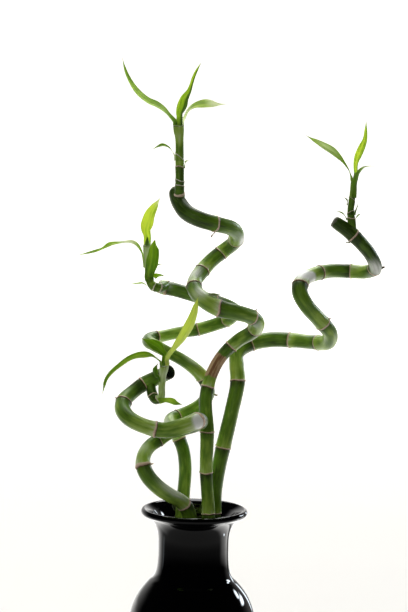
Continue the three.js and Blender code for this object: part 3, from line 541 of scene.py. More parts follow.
class Line:
    """A smooth line through a table of [x, y, z, width], measured in mm from its first point."""

    FINE_STEPS = 24  # samples from each listed point to the next

    def __init__(self, table):
        table = np.array(table, float)
        points = np.vstack([2 * table[0] - table[1], table, 2 * table[-1] - table[-2]])
        knots = np.sqrt(np.linalg.norm(np.diff(points[:, :3], axis=0), axis=1))
        t = (np.arange(self.FINE_STEPS) / self.FINE_STEPS)[:, None]
        rows = []
        for i in range(len(table) - 1):
            p0, p1, p2, p3 = points[i : i + 4]
            k0, k1, k2 = knots[i : i + 3]
            leaving = ((p1 - p0) / k0 - (p2 - p0) / (k0 + k1)) * k1 + p2 - p1
            arriving = ((p3 - p2) / k2 - (p3 - p1) / (k1 + k2)) * k1 + p2 - p1
            rows.append(eased(p1, p2, leaving, arriving, t))
        samples = np.vstack([*rows, table[-1:]])
        steps = np.linalg.norm(np.diff(samples[:, :3], axis=0), axis=1)
        self.distances = np.concatenate([[0], np.cumsum(steps)])
        self.columns = samples.T
        self.slopes = np.gradient(samples[:, :3], self.distances, axis=0).T
        self.length = self.distances[-1]

    def read(self, columns, distance):
        return np.stack([np.interp(distance, self.distances, c) for c in columns], axis=-1)

    def place(self, distance):
        return self.read(self.columns[:3], distance)

    def width(self, distance):
        return np.interp(distance, self.distances, self.columns[3])

    def along(self, distance):
        return unit(self.read(self.slopes, distance))


draw = np.random.default_rng(2080)
CANE_LINES = {name: Line(cane["line"]) for name, cane in CANES.items()}
STEM_LINES = {name: Line(stem["line"]) for name, stem in STEMS.items()}

# Meshes


def grid_quads(rows, columns, joined):
    """The quads of a grid of points. joined closes the last column to the first."""
    last = columns if joined else columns - 1
    row, column = np.meshgrid(np.arange(rows - 1), np.arange(last), indexing="ij")
    here = (row * columns + column).ravel()
    beside = (row * columns + (column + 1) % columns).ravel()
    return np.stack([here, beside, beside + columns, here + columns], axis=1)


def closed_tube(grid):
    """Points and faces of a grid whose rows are rings, with a fan over each end."""
    rows, sides = grid.shape[:2]
    points = np.vstack([grid.reshape(-1, 3), grid[0].mean(0), grid[-1].mean(0)])
    faces = grid_quads(rows, sides, True).tolist()
    top = (rows - 1) * sides
    for side in range(sides):
        beside = (side + 1) % sides
        faces += [(rows * sides, beside, side), (rows * sides + 1, top + side, top + beside)]
    return points, faces


def with_ends(values):
    """Adds the values of the first and the last ring's middle to values on a grid of rings."""
    flat = values.reshape(-1, *values.shape[2:])
    return np.concatenate([flat, values[0].mean(0)[None], values[-1].mean(0)[None]])


def blade_solid(upper, lower):
    """Points and faces of a thin solid between two equal grids, closed round its four edges."""
    rows, columns = upper.shape[:2]
    under = rows * columns
    quads = grid_quads(rows, columns, False)
    top = np.arange(under).reshape(rows, columns)
    border = np.concatenate([top[0, :-1], top[:-1, -1], top[-1, :0:-1], top[:0:-1, 0]])
    after = np.roll(border, -1)
    sides = np.stack([border, border + under, after + under, after], axis=1)
    points = np.vstack([upper.reshape(-1, 3), lower.reshape(-1, 3)])
    return points, np.vstack([quads, quads[:, ::-1] + under, sides])


def on_both_faces(shape, *values):
    """Values on a grid, for a thin solid's upper and lower points alike."""
    rows = np.stack([np.broadcast_to(value, shape).ravel() for value in values], axis=-1)
    return np.vstack([rows, rows])


def piece(name, points, faces, attributes=()):
    """A mesh object from points in mm, its faces turned outwards, with values kept for its material."""
    mesh = bpy.data.meshes.new(name)
    mesh.from_pydata((points * MM).tolist(), [], [list(map(int, face)) for face in faces])
    for key, values in dict(attributes).items():
        kind, field = ("FLOAT_VECTOR", "vector") if values.ndim == 2 else ("FLOAT", "value")
        mesh.attributes.new(key, kind, "POINT").data.foreach_set(field, values.ravel())
    mesh.polygons.foreach_set("use_smooth", [True] * len(mesh.polygons))
    mesh.validate()
    mesh.update()
    work = bmesh.new()
    work.from_mesh(mesh)
    if work.calc_volume(signed=True) < 0:
        mesh.flip_normals()
    work.free()
    made = bpy.data.objects.new(name, mesh)
    bpy.context.scene.collection.objects.link(made)
    return made


def finish_piece(made, material, node=None):
    """Gives a piece its material, slot and body, and hides the node whose place it takes."""
    made.data.materials.append(material)
    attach(made, "root")
    if node:
        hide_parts(node)


# Materials


def rgb(red, green, blue):
    """A colour in linear light from its 0 to 255 screen values."""
    channels = [c / 255 for c in (red, green, blue)]
    return [c / 12.92 if c < 0.04045 else ((c + 0.055) / 1.055) ** 2.4 for c in channels] + [1]


def plug(socket, value):
    """Links a node's input to a value, or sets it to a plain number or colour."""
    if isinstance(value, Value):
        socket.id_data.links.new(value.socket, socket)
    else:
        socket.default_value = value


def new_node(tree, kind, settings=(), inputs=()):
    """A node, with its inputs by name or number."""
    made = tree.nodes.new("ShaderNode" + kind)
    for key, value in dict(settings).items():
        setattr(made, key, value)
    for key, value in dict(inputs).items():
        plug(made.inputs[key], value)
    return made


class Value:
    """What a node gives out: a number, a place or a colour. Working with it makes further nodes."""

    def __init__(self, socket):
        self.socket = socket

    def node(self, kind, inputs, output=0, **settings):
        return Value(new_node(self.socket.id_data, kind, settings, inputs).outputs[output])

    def math(self, operation, *values):
        return self.node("Math", enumerate(values or [self]), operation=operation)

    def __add__(self, other):
        return self.math("ADD", self, other)

    def __mul__(self, other):
        return self.math("MULTIPLY", self, other)

    def __sub__(self, other):
        return self.math("SUBTRACT", self, other)

    def __rsub__(self, other):
        return self.math("SUBTRACT", other, self)

    def __truediv__(self, other):
        return self.math("DIVIDE", self, other)

    def __abs__(self):
        return self.math("ABSOLUTE")

    __radd__ = __add__
    __rmul__ = __mul__

    def split(self):
        """The three numbers of a place."""
        made = new_node(self.socket.id_data, "SeparateXYZ", (), {0: self})
        return [Value(socket) for socket in made.outputs]

    def step(self, low, high):
        """0 below low and 1 above high, or the other way round where low is the greater."""
        ends = (low, high, 0.0, 1.0) if low < high else (high, low, 1.0, 0.0)
        return self.node("MapRange", enumerate([self, *ends]), interpolation_type="SMOOTHSTEP")

    def between(self, first, second):
        """The colour that lies this share of the way from the first to the second."""
        return self.node("Mix", {0: self, 6: first, 7: second}, output=2, data_type="RGBA")

    def noise(self, scale, detail=2.0, roughness=0.5, stretch=None):
        """Noise from 0 to 1 at this place, finer where stretch is greater."""
        place = self
        if stretch:
            place = self.node("VectorMath", {0: self, 1: stretch}, operation="MULTIPLY")
        return self.node("TexNoise", {
            "Vector": place, "Scale": scale, "Detail": detail, "Roughness": roughness,
        })

    def bump(self, distance, strength=1.0):
        return self.node("Bump", {"Height": self, "Distance": distance, "Strength": strength})


class Finish:
    """A material."""

    def __init__(self, name):
        self.material = bpy.data.materials.new(name)
        self.material.use_nodes = True
        self.tree = self.material.node_tree
        self.shader = self.tree.nodes["Principled BSDF"]

    def attribute(self, name, output="Fac"):
        """What the mesh keeps under a name."""
        return Value(new_node(self.tree, "Attribute", {"attribute_name": name}).outputs[output])

    def numbers(self, name):
        """The three numbers that the mesh keeps under a name."""
        return self.attribute(name, "Vector").split()

    def place(self):
        """The place on the object, in metres."""
        return Value(new_node(self.tree, "TexCoord").outputs["Object"])

    def surface(self, **inputs):
        for key, value in inputs.items():
            plug(self.shader.inputs[key.replace("_", " ")], value)
        return self.material


DARK_GREEN = rgb(46, 70, 18)
MID_GREEN = rgb(97, 135, 34)
LIGHT_GREEN = rgb(158, 190, 74)
PALE_GREEN = rgb(212, 226, 172)
SCAR_TAN = rgb(232, 208, 180)
SCAR_PINK = rgb(200, 158, 134)
SCAR_BROWN = rgb(92, 58, 40)
DRY_BROWN = rgb(140, 98, 66)
DRY_TAN = rgb(206, 172, 132)
MARGIN = rgb(230, 234, 208)
# Near-white of the painted highlights where light glances off the canes
HIGHLIGHT_WHITE = rgb(250, 252, 244)


def bark_finish(name, margins):
    """The skin of canes and shoots. straight: the place on the straightened stem. ring: the distance
    from the nearest ring, its breadth and the share of the internode, past half of which the nearest
    ring is the one above. mark: the tone, the dryness and the ring's paleness. margins: the rings are
    sheath edges and not leaf scars."""
    skin = Finish(name)
    place = skin.attribute("straight", "Vector")
    away, breadth, share = skin.numbers("ring")
    tone, dry, paleness = skin.numbers("mark")
    offset = away * (0.5 - share).math("SIGN")
    fibres = place.noise(1.5, 5, 0.6, stretch=(1, 1, 0.07))
    streaks = place.noise(0.42, 3, stretch=(1, 1, 0.12))
    clouds = place.noise(0.11, 3, stretch=(1, 1, 0.4))
    specks = place.noise(2.4, 3)
    grain = place.noise(1.1, 3)

    # Darker upwards on a cane, paler upwards on a shoot, and darkest just under each ring. On a shoot,
    # the darker
    #     # foot of each sheath, where it comes out of the one below, is painted shade
    under = offset.step(-9.0, -0.5) * offset.step(0.4, -0.2)
    over = offset.step(7.0, 0.5) * offset.step(-0.4, 0.2)
    depth = 0.56 - 0.42 * tone + (-0.35 if margins else 0.3) * (share - 0.5) + 0.95 * (clouds - 0.5)
    depth = depth + 0.5 * (streaks - 0.5) + 0.16 * under - 0.1 * over
    colour = depth.step(0.0, 0.34).between(PALE_GREEN, LIGHT_GREEN)
    colour = depth.step(0.26, 0.6).between(colour, MID_GREEN)
    colour = depth.step(0.55, 1.0).between(colour, DARK_GREEN)
    colour = (0.22 * fibres.step(0.46, 0.72)).between(colour, LIGHT_GREEN)
    colour = (0.18 * specks.step(0.64, 0.74)).between(colour, DARK_GREEN)

    # Painted highlight: a pale wash where light glances off the cane, thinner along the fibres
    bloom = skin.attribute("bloom") * (0.2 + streaks + 0.6 * fibres)
    colour = bloom.step(0.1, 0.9).between(colour, HIGHLIGHT_WHITE)

    # The dry patch, with lengthwise tan and brown streaks
    bark = streaks.step(0.36, 0.62).between(DRY_BROWN, DRY_TAN)
    bark = (0.6 * fibres.step(0.5, 0.66)).between(bark, SCAR_BROWN)
    dried = (dry + 1.1 * (streaks - 0.5)).step(0.4, 0.62)
    colour = dried.between(colour, bark)

    # The ring: a light raised edge, browner towards its lower side, with a brown line below it
    wavy = offset + 0.8 * (place.noise(0.4, 3) - 0.5)
    half = 0.5 * breadth
    edge = (abs(wavy) - half).step(0.22, -0.12)
    line = abs(wavy + half + 0.3).step(0.45, 0.12)
    scar = (0.6 * grain.step(0.44, 0.64)).between(SCAR_TAN, SCAR_PINK)
    scar = (0.55 * (wavy / half).step(-0.1, -0.95)).between(scar, SCAR_BROWN)
    scar = paleness.between(scar, MARGIN)
    colour = ((0.45 if margins else 0.85) * line).between(colour, SCAR_BROWN)
    colour = edge.between(colour, scar)

    bumps = 0.5 * fibres + 0.25 * specks + 0.8 * grain * edge
    return skin.surface(
        Base_Color=colour, Roughness=0.3 + 0.14 * clouds + 0.3 * edge + 0.25 * dried,
        Specular_IOR_Level=0.55, Normal=bumps.bump(0.00018, 0.6),
    )


def leaf_finish():
    """A leaf's skin, which lets light through. blade: the place across and along the leaf and the
    distance from its edge. mark: the tone, the share of the half width and how dry the tip is."""
    skin = Finish("leaf_blade")
    place = skin.attribute("blade", "Vector")
    margin = place.split()[2]
    tone, across, dry = skin.numbers("mark")
    veins = place.noise(1.0, 1, stretch=(0.6, 0.02, 0))
    threads = place.noise(1.0, 1, stretch=(2.0, 0.03, 0))
    clouds = place.noise(0.1, 1, stretch=(1, 1, 0))

    shade = 0.5 + 0.5 * tone + 0.75 * (veins - 0.5) + 0.35 * (clouds - 0.5) + 0.15 * (threads - 0.5)
    colour = shade.step(0.0, 0.4).between(rgb(44, 92, 26), rgb(92, 140, 40))
    colour = shade.step(0.32, 0.75).between(colour, rgb(166, 198, 70))
    colour = shade.step(0.72, 1.05).between(colour, rgb(228, 236, 120))
    colour = (0.3 * abs(across).step(0.1, 0.02)).between(colour, rgb(190, 208, 128))
    colour = (0.65 * margin.step(0.42, 0.12)).between(colour, rgb(206, 216, 150))
    # Painted sheen: a pale wash, following the veins, where light glances off the blade and washes it
    # out
    sheen_wash = (skin.attribute("pale") * (0.55 + 0.9 * veins)).step(0.0, 1.0)
    colour = sheen_wash.between(colour, rgb(232, 238, 208))
    colour = (dry + 0.5 * (clouds - 0.5)).step(0.4, 0.8).between(colour, rgb(150, 110, 56))
    skin.surface(
        Base_Color=colour, Roughness=0.36 + 0.12 * clouds, Specular_IOR_Level=0.5,
        Normal=(0.6 * veins + 0.4 * threads).bump(0.00004, 0.5),
    )
    through = (0.45 * (1 - sheen_wash)).between(colour, rgb(206, 228, 80))
    glow = through.node("BsdfTranslucent", {"Color": through})
    both = glow.node("MixShader", {0: 0.5, 1: Value(skin.shader.outputs[0]), 2: glow})
    plug(skin.tree.nodes["Material Output"].inputs["Surface"], both)
    return skin.material


def scale_finish():
    """Buds and dry remnants: tone 0 is a green bud, 1 dry tan and 2 nearly black."""
    skin = Finish("dry_scale")
    place = skin.attribute("blade", "Vector")
    margin = place.split()[2]
    tone = skin.numbers("mark")[0]
    grain = place.noise(1.0, 3, stretch=(2.4, 0.5, 1))
    green = grain.between(rgb(52, 88, 34), rgb(146, 166, 92))
    tan = grain.between(rgb(120, 84, 54), rgb(200, 172, 132))
    dark = grain.between(rgb(30, 24, 16), rgb(84, 62, 42))
    colour = tone.step(0.3, 0.7).between(green, tan)
    colour = tone.step(1.3, 1.7).between(colour, dark)
    edge = 0.7 * margin.step(0.4, 0.05) * tone.step(1.5, 0.5)
    colour = edge.between(colour, rgb(216, 212, 182))
    return skin.surface(Base_Color=colour, Roughness=0.62, Normal=grain.bump(0.0002))


def wax_finish():
    """The wax over a cut end. straight: the place on it. mark: its tone and the share of its radius."""
    skin = Finish("cut_end_wax")
    place = skin.attribute("straight", "Vector")
    tone, rim, _ = skin.numbers("mark")
    clouds = place.noise(0.35, 3)
    grain = place.noise(2.0, 3)
    dark = clouds.between(rgb(6, 10, 6), rgb(17, 25, 14))
    light = clouds.between(rgb(128, 146, 112), rgb(190, 200, 172))
    thin = (rim + 0.35 * (clouds - 0.5)).step(0.72, 0.98) * (0.1 + 0.6 * tone)
    return skin.surface(
        Base_Color=thin.between(tone.between(dark, light), rgb(190, 184, 150)),
        Roughness=0.2 + 0.12 * grain, Normal=(clouds + 0.3 * grain).bump(0.0002),
    )


def glaze_finish():
    """Black high-gloss glaze, with bare clay on the foot's rim."""
    skin = Finish("black_glaze")
    place = skin.place()
    height = place.split()[2]
    ripple = place.noise(38.0)
    peel = place.noise(620.0)
    smudges = place.noise(24.0, 4, 0.65)
    grit = place.noise(1800.0, 3)
    bare = (height + 0.0006 * (ripple - 0.5)).step(0.0011, 0.0007)
    clay = grit.between(rgb(126, 104, 86), rgb(176, 154, 132))
    black = smudges.between(rgb(2, 2, 3), rgb(6, 6, 7))
    bumps = 0.6 * ripple + 0.05 * peel + 0.4 * grit * bare
    return skin.surface(
        Base_Color=bare.between(black, clay), Specular_IOR_Level=0.5,
        Roughness=0.035 + 0.05 * smudges.step(0.5, 0.75) + 0.7 * bare, Normal=bumps.bump(0.0003, 0.35),
    )


def pebble_finish():
    skin = Finish("river_pebble")
    place = skin.place()
    patches = place.noise(160.0, 4)
    grit = place.noise(1400.0, 3)
    stone = skin.attribute("tone").between(rgb(52, 50, 52), rgb(128, 118, 106))
    stone = (0.5 * patches.step(0.5, 0.62)).between(stone, rgb(150, 144, 136))
    stone = (0.5 * grit.step(0.58, 0.7)).between(stone, rgb(34, 32, 34))
    return skin.surface(
        Base_Color=stone, Roughness=0.4 + 0.2 * grit, Normal=(patches + 0.3 * grit).bump(0.0004),
    )


def water_finish():
    skin = Finish("still_water")
    place = skin.place()
    return skin.surface(
        Base_Color=place.noise(30.0, 3).between(rgb(236, 244, 238), rgb(226, 238, 228)),
        Roughness=0.02, IOR=1.333, Transmission_Weight=1.0, Normal=place.noise(55.0).bump(0.0004, 0.3),
    )


# Canes and their shoots' stems


def stations_between(start, end, step, rings):
    """Distances for cross-sections: even ones, and close ones about each ring."""
    even = np.linspace(start, end, max(2, round((end - start) / step)))
    is_clear = np.abs(even[:, None] - rings).min(1) > RING_REACH
    is_clear[[0, -1]] = True
    close = np.add.outer(rings, np.arange(-RING_REACH, RING_REACH + RING_STEP / 2, RING_STEP))
    stations = np.concatenate([even[is_clear], close.ravel()])
    return np.unique(np.clip(stations, start, end).round(4))


def ring_values(stations, angles, rings, edges):
    """On a grid of distances and angles: the distance from the nearest ring, its number, how many
    rings have been passed, and the share of the internode that has been passed. edges: how far each
    ring is shifted along at an angle."""
    offsets = np.stack([stations[:, None] - ring - edge(angles) for ring, edge in zip(rings, edges)])
    nearest = np.abs(offsets).argmin(0)
    offset = np.take_along_axis(offsets, nearest[None], 0)[0]
    passed = (offsets > 0).sum(0)
    bounds = np.array([rings[0] - FIRST_INTERNODE, *rings, rings[-1] + LAST_INTERNODE])
    start, end = bounds[passed], bounds[passed + 1]
    share = np.clip((stations[:, None] - start) / (end - start), 0, 1)
    return offset, nearest, passed, share


def bent_tube(line, stations, angles, radius, slide=0.0):
    """A tube's grid: stations along a line, each with a radius at each angle. slide shifts each
    point along the line. The angles turn with the line and never about it."""
    directions = line.along(stations)
    axis = np.array([0, 1, 0], float)
    rows = []
    for along in directions:
        axis = unit(axis - axis.dot(along) * along)
        rows.append(axis)
    across = np.array(rows)
    beside = np.cross(directions, across)
    shift = np.broadcast_to(slide, radius.shape)[..., None] * directions[:, None]
    outwards = radius[..., None] * spokes(angles, across[:, None], beside[:, None])
    return line.place(stations)[:, None] + outwards + shift


def bark_piece(name, tube, straight, ring, mark, **more):
    """A cane or a stem from its grid, with what its skin reads: each value a grid or three of them."""
    values = {"straight": straight, "ring": ring, "mark": mark}
    values = {key: with_ends(np.stack(grids, axis=-1)) for key, grids in values.items()}
    values.update({key: with_ends(grid) for key, grid in more.items()})
    return piece(name, *closed_tube(tube), values)


def straightened(stations, angles, radius, start):
    """The places on a tube bent straight. start sets each tube in another part of the noise."""
    lengthwise = np.repeat(stations[:, None] + start, len(angles), axis=1)
    return radius * np.cos(angles), radius * np.sin(angles), lengthwise


def rounded_end(name, stations):
    """The share of a cane's width that is left towards its cut end: a quarter circle that stops just
    short of level."""
    near = np.clip((stations - CANE_LINES[name].length + END_REACH) / END_REACH, 0, 1)
    return 1 - (1 - END_WIDTH[name]) * (1 - np.sqrt(1 - near**2 * 0.99)) / 0.9


def cane_piece(name, material):
    cane, line = CANES[name], CANE_LINES[name]
    rings, breadths = np.array(cane["rings"], float).T
    wobbles = [Waves(0.45, 0.3, 0.14, 0.1) for _ in rings]
    ridges = [Waves(0.1, 0.1, 0.08, 0.06, 0.05) for _ in rings]
    stations = stations_between(0, line.length, CANE_STEP, rings)
    angles = circle(CANE_SIDES)
    offset, nearest, passed, share = ring_values(stations, angles, rings, wobbles)

    # A shallow waist in each internode, a swelling at each ring, and the ring's own sharp ridge
    breadth = breadths[nearest]
    ridge = np.stack([wave(angles) for wave in ridges])[nearest, np.arange(CANE_SIDES)]
    radius = line.width(stations)[:, None] + SWELLING * bell(offset, 5.0) - WAIST
    radius += (RING_RISE + 0.25 * ridge) * bell(offset, 0.3 + 0.32 * breadth)
    radius -= 0.2 * bell(offset + 0.9 + 0.5 * breadth, 0.7)
    uneven = Waves(0.1, 0.09, 0.06)
    slow = Waves(0.08, 0.07)
    radius += uneven(angles + stations[:, None] / 37) + slow(stations / 19)[:, None]
    radius[0] -= FOOT_BEVEL
    radius *= rounded_end(name, stations)[:, None]

    tube = bent_tube(line, stations, angles, radius)
    outward = unit(tube - line.place(stations)[:, None])
    # Painted highlight: pale on the listed side of the cane, near each listed distance, where light
    # glances off it
    bloom = np.zeros_like(radius)
    for distance, side, reach, strength in PAINTED_HIGHLIGHTS[name]:
        turned = smoothstep(outward @ unit(side), 0.0, 0.95)
        bloom = np.maximum(bloom, strength * turned * bell(stations - distance, reach)[:, None])
    dry = np.zeros_like(radius)
    if name == DRY_CANE:
        dry += smoothstep(np.abs(stations - DRY_MIDDLE), DRY_HALF + 4, DRY_HALF - 5)[:, None]
    tone = np.array(cane["tones"])[passed] + 1.2 * slow(stations / 7)[:, None]
    made = bark_piece(
        "bamboo_cane_" + name, tube, straightened(stations, angles, radius, CANE_SHIFT * ord(name)),
        ring=(np.abs(offset), breadth, share), mark=(tone, dry, 0 * dry), bloom=bloom,
    )
    finish_piece(made, material, "cane_" + name)


def seal_piece(name, material):
    """A thin dome of wax that laps unevenly over the edge of the cut."""
    line = CANE_LINES[name]
    end = line.length
    place, along = line.place(end), line.along(end)
    across = unit(np.array([0, 1, 0]) - along[1] * along)
    angles = circle(CANE_SIDES)
    outwards = line.width(end) * END_WIDTH[name] * spokes(angles, across, np.cross(along, across))
    lap = Waves(0.5, 0.4, 0.3, 0.2)
    dent = Waves(0.12, 0.096, 0.06)
    top = SEAL_GAP + SEAL_THICKNESS
    # Height over the cut, share of the cut's radius, and how much of the lap's unevenness is left
    profile = [
        (-1.1, 0.975, 1), (-1.1, 1.035, 1), (-0.6, 1.045, 0.8), (0, 1.04, 0.4), (0.45, 1.015, 0),
        (0.8, 0.965, 0), (1.05, 0.88, 0), (1.18, 0.76, 0), (top - 0.06, 0.55, 0), (top, 0.3, 0),
        (top + 0.02, 0.1, 0),
    ]
    rows, shares = [], []
    for height, share, edge in profile:
        rise = height - 0.6 * edge * lap(angles) + (edge == 0) * dent(angles)
        rows.append(place + rise[:, None] * along + share * outwards)
        shares.append(np.full(CANE_SIDES, min(share, 1) if height > 0 else 1.0))
    points, faces = closed_tube(np.array(rows))
    shares = with_ends(np.array(shares))
    shares[-1] = 0
    tones = np.full_like(shares, WAX_TONES[name])
    made = piece("wax_" + name, points, faces, {
        "straight": points - place, "mark": np.stack([tones, shares, 0 * shares], axis=-1),
    })
    finish_piece(made, material, "seal_" + name)


def sheath_edge(slant, bearing):
    """How far a sheath's oblique edge is above its middle at each angle."""
    small = Waves(0.1, 0.12, 0.1, 0.08)
    return lambda angle: slant * np.cos(angle - math.radians(bearing) + math.pi / 2) + small(angle)


def stem_piece(name, material):
    """One shoot's stem: sheath on sheath, each with a thin oblique edge, up to an open mouth that
    the core of young leaves stands in."""
    stem, line = STEMS[name], STEM_LINES[name]
    mouth = stem["mouth"]
    rings, breadths, slants, bearings, paleness = np.array(stem["rings"] + [(mouth, 0.7, 0.5, 90, 1)]).T
    angles = circle(STEM_SIDES)
    outer = stations_between(0, mouth, STEM_STEP * 2, rings[:-1])
    inner = [mouth + 0.6 * MOUTH_LIP, mouth, mouth - 1, mouth - MOUTH_DEPTH]
    tip = mouth + CORE_SHARE * (line.length - mouth)
    core = np.linspace(inner[-1], tip, round((tip - inner[-1]) / STEM_STEP))[1:]
    stations = np.concatenate([outer, inner, core])

    widths = line.width(outer)
    near = smoothstep(outer, mouth - 9, mouth)
    widths = widths * (1 - near) + np.maximum(widths, stem["mouth_radius"]) * near
    cup = widths[-1] - MOUTH_LIP * np.array([0.5, 1, 1.5, 2])
    beyond = 0.1 + 0.8 * line.width(mouth + 4) * np.clip((tip - core) / (tip - mouth), 0, 1) ** 0.75
    radius = np.concatenate([widths, cup, np.minimum(beyond, widths[-1] - 3 * MOUTH_LIP)])[:, None]

    edges = [sheath_edge(slant, bearing) for slant, bearing in zip(slants, bearings)]
    offset, nearest, passed, share = ring_values(stations, angles, rings, edges)
    row = np.arange(len(stations))[:, None]
    is_outer = row < len(outer)
    is_core = row >= len(outer) + len(inner)
    sheaths = (0.24 * smoothstep(-offset, -0.25, 0.1) - 0.08) * bell(offset, 4.0)
    ridges = 0.22 * bell(offset, 0.5 + 0.3 * breadths[nearest])
    ribs = 0.05 * np.cos(9 * angles) * smoothstep(stations, 5, 20)[:, None]
    radius = radius + is_outer * (sheaths * (nearest < len(rings) - 1) + ridges + ribs)
    lifted = smoothstep(stations, mouth - 5, mouth)[:, None] * (row < len(outer) + 2) * edges[-1](angles)

    tones = np.array([*stem["tones"], 0.1])
    tone = np.where(is_core, 0.1, tones[np.minimum(passed, len(tones) - 1)])
    away = np.where(is_core, 20, np.where(is_outer, np.abs(offset), 0.1))
    made = bark_piece(
        "shoot_" + name, bent_tube(line, stations, angles, radius, lifted),
        straightened(stations, angles, radius, STEM_SHIFT * ord(name)),
        ring=(away, breadths[nearest], share), mark=(tone, 0 * tone, paleness[nearest]),
    )
    finish_piece(made, material, "stem_" + name)


# Leaves


def leaf_seat(line, distance, side, lift=0.0):
    """Where a rib lies against its stem at a distance, the way out there, and how far out it is."""
    along = line.along(distance)
    bearing = math.radians(side)
    out = np.array([math.cos(bearing), math.sin(bearing), 0])
    out = unit(out - out.dot(along) * along)
    reach = line.width(distance) + BLADE_GAP + SOLID_BLADE / 2 + lift
    return line.place(distance) + reach * out, out, reach


def leaf_line(name):
    """A leaf's line from its seat on its stem up, how far up it clasps the stem, and the way out and
    the reach of the seat. A leaf out of the stem's mouth is rooted inside it."""
    leaf, stem, line = LEAVES[name], STEMS[name[0]], STEM_LINES[name[0]]
    start = line.distances[line.columns[2] < leaf["height"]][-1]
    base, out, reach = leaf_seat(line, start, leaf["side"])
    above = leaf_seat(line, start + leaf["clasp"], leaf["side"], 0.15)[0]
    width = min(max(point[3] for point in leaf["rib"]), CLASP_ANGLE * reach)
    table = [[*base, width], [*above, width], *leaf["rib"]]
    clasp = leaf["clasp"]
    inside = line.place(stem["mouth"] - SUNK_DEPTH)
    if leaf["height"] >= inside[2]:
        inner = min(reach, stem["mouth_radius"] - 0.8)
        root = inside + inner * out
        table.insert(0, [*root, min(width, CLASP_ANGLE * inner)])
        clasp += np.linalg.norm(base - root)
    return Line(table), clasp, out, reach


def leaf_piece(name, material):
    leaf = LEAVES[name]
    line, clasp, out, reach = leaf_line(name)
    length = line.length
    widest = max(point[3] for point in leaf["rib"])
    stations = np.linspace(0, length, max(10, round(length / LEAF_ROW)) + 1)
    along = line.along(stations)
    turn = smoothstep(stations, clasp, 0.6 * length)[:, None]
    across = unit(np.cross(along, turn * unit(leaf["face"]) - (1 - turn) * out))
    up = np.cross(across, along)
    opening = smoothstep(stations, clasp, clasp + UNROLL)[:, None]
    radius = 1 / ((1 - opening) / reach + opening / (CHANNEL * widest))

    # Half width, drawn out to a fine point at the tip
    taper = np.clip((length - stations) / min(9, 0.35 * length), 0, 1) ** 0.7
    width = np.clip(line.width(stations), 0.1, None) * (0.25 + 0.75 * taper) * taper**0.25
    width = np.maximum(width, 0.06)[:, None]

    # Rippled edges, the fold along the rib, and fine pleats
    share = np.linspace(-1, 1, LEAF_COLUMNS + 1)
    ripple = Waves(0.0, 0.5, 0.5, 0.35)
    phase = 2 * math.pi * stations[:, None] / max(length, 40) + np.where(share < 0, 0, 2.1)
    lift = 0.05 * widest * ripple(phase) * np.abs(share) ** 2.2
    lift = lift + leaf.get("fold", FOLD) * width * (np.abs(share) ** 1.15 - 0.35)
    lift = lift + 0.04 * smoothstep(width, 0.8, 2.5) * np.cos(share * 9 * math.pi)
    lift = lift * opening

    angle = share * width / radius
    thick = BLADE_THICKNESS * (0.34 + 0.66 * (1 - np.abs(share) ** 3))
    thick = thick * (0.45 + 0.55 * np.clip(width / 2, 0, 1))
    grids = []
    for half in (-thick / 2, thick / 2):
        aside = (radius + half) * np.sin(angle)
        over = radius - (radius + half) * np.cos(angle) + lift
        grids.append(line.place(stations)[:, None] + aside[..., None] * across[:, None]
                     + over[..., None] * up[:, None])

    passed = stations[:, None] / length
    # Painted light and shade: one half of the folded blade lighter and the other darker
    soft = smoothstep(np.abs(share), 0, 0.16) * np.where(share < 0, *leaf.get("halves", (0, 0)))
    tone = np.interp(passed, [0, 0.5, 1], leaf["tones"]) + soft
    dry = smoothstep(stations, length - DRY_TIP, length + 0.5)[:, None]
    # Painted sheen: how far light glancing off the blade washes it out along its length
    pale = np.interp(passed, *np.transpose(leaf.get("pale", [(0, 0)])))
    lengthwise = stations[:, None] + LEAF_SHIFT * draw.integers(LEAF_PLACES)
    made = piece("blade_" + name, *blade_solid(*grids), {
        "blade": on_both_faces(angle.shape, share * width, lengthwise, (1 - np.abs(share)) * width),
        "mark": on_both_faces(angle.shape, tone, share, dry),
        "pale": on_both_faces(angle.shape, pale)[:, 0],
    })
    finish_piece(made, material, "leaf_" + name)


def scales_piece(name, material):
    """The small pointed scales of one cane, each a thin curled blade rooted in the skin."""
    line = CANE_LINES[name]
    t = np.linspace(0, 1, SCALE_ROWS)[:, None]
    share = np.linspace(-1, 1, SCALE_COLUMNS)
    points, faces, blades, marks = [], [], [], []
    for distance, side, way, length, half, kind in SCALES[name]:
        along = line.along(distance)
        out = unit(side - np.dot(side, along) * along)
        root = line.place(distance) + out * (line.width(distance) - SCALE_ROOT)
        way = unit(way)
        crown, curl = 0.3 * half, 0.9 * half * t**2
        if kind == "bud":
            way = unit(way + 0.15 * out)
            crown, curl = 0.55 * half, 0.1 * t
        across = unit(np.cross(way, out))
        up = np.cross(across, way)
        up *= np.sign(up.dot(out))
        width = half * np.sin(math.pi * np.clip(t * 0.82 + 0.18, 0, 1)) ** 0.8 + 0.05
        twist = 0.5 * t * draw.normal(0.5, 0.4) * share * half
        lift = crown * (1 - share**2) * np.sin(math.pi * np.clip(t + 0.15, 0, 1)) + curl + twist
        middle = root + (length * t)[..., None] * way + (width * share)[..., None] * across
        upper, lower = (middle + (lift + off)[..., None] * up for off in (SCALE_HALF, -SCALE_HALF))
        solid, quads = blade_solid(upper, lower)
        faces.append(quads + sum(map(len, points)))
        points.append(solid)
        blades.append(on_both_faces(lift.shape, width * share, length * t, width * (1 - np.abs(share))))
        marks.append(on_both_faces(lift.shape, SCALE_TONES[kind], 0, 0))
    made = piece("scales_" + name, np.vstack(points), np.vstack(faces), {
        "blade": np.vstack(blades), "mark": np.vstack(marks),
    })
    finish_piece(made, material)


# The vase and what is in it


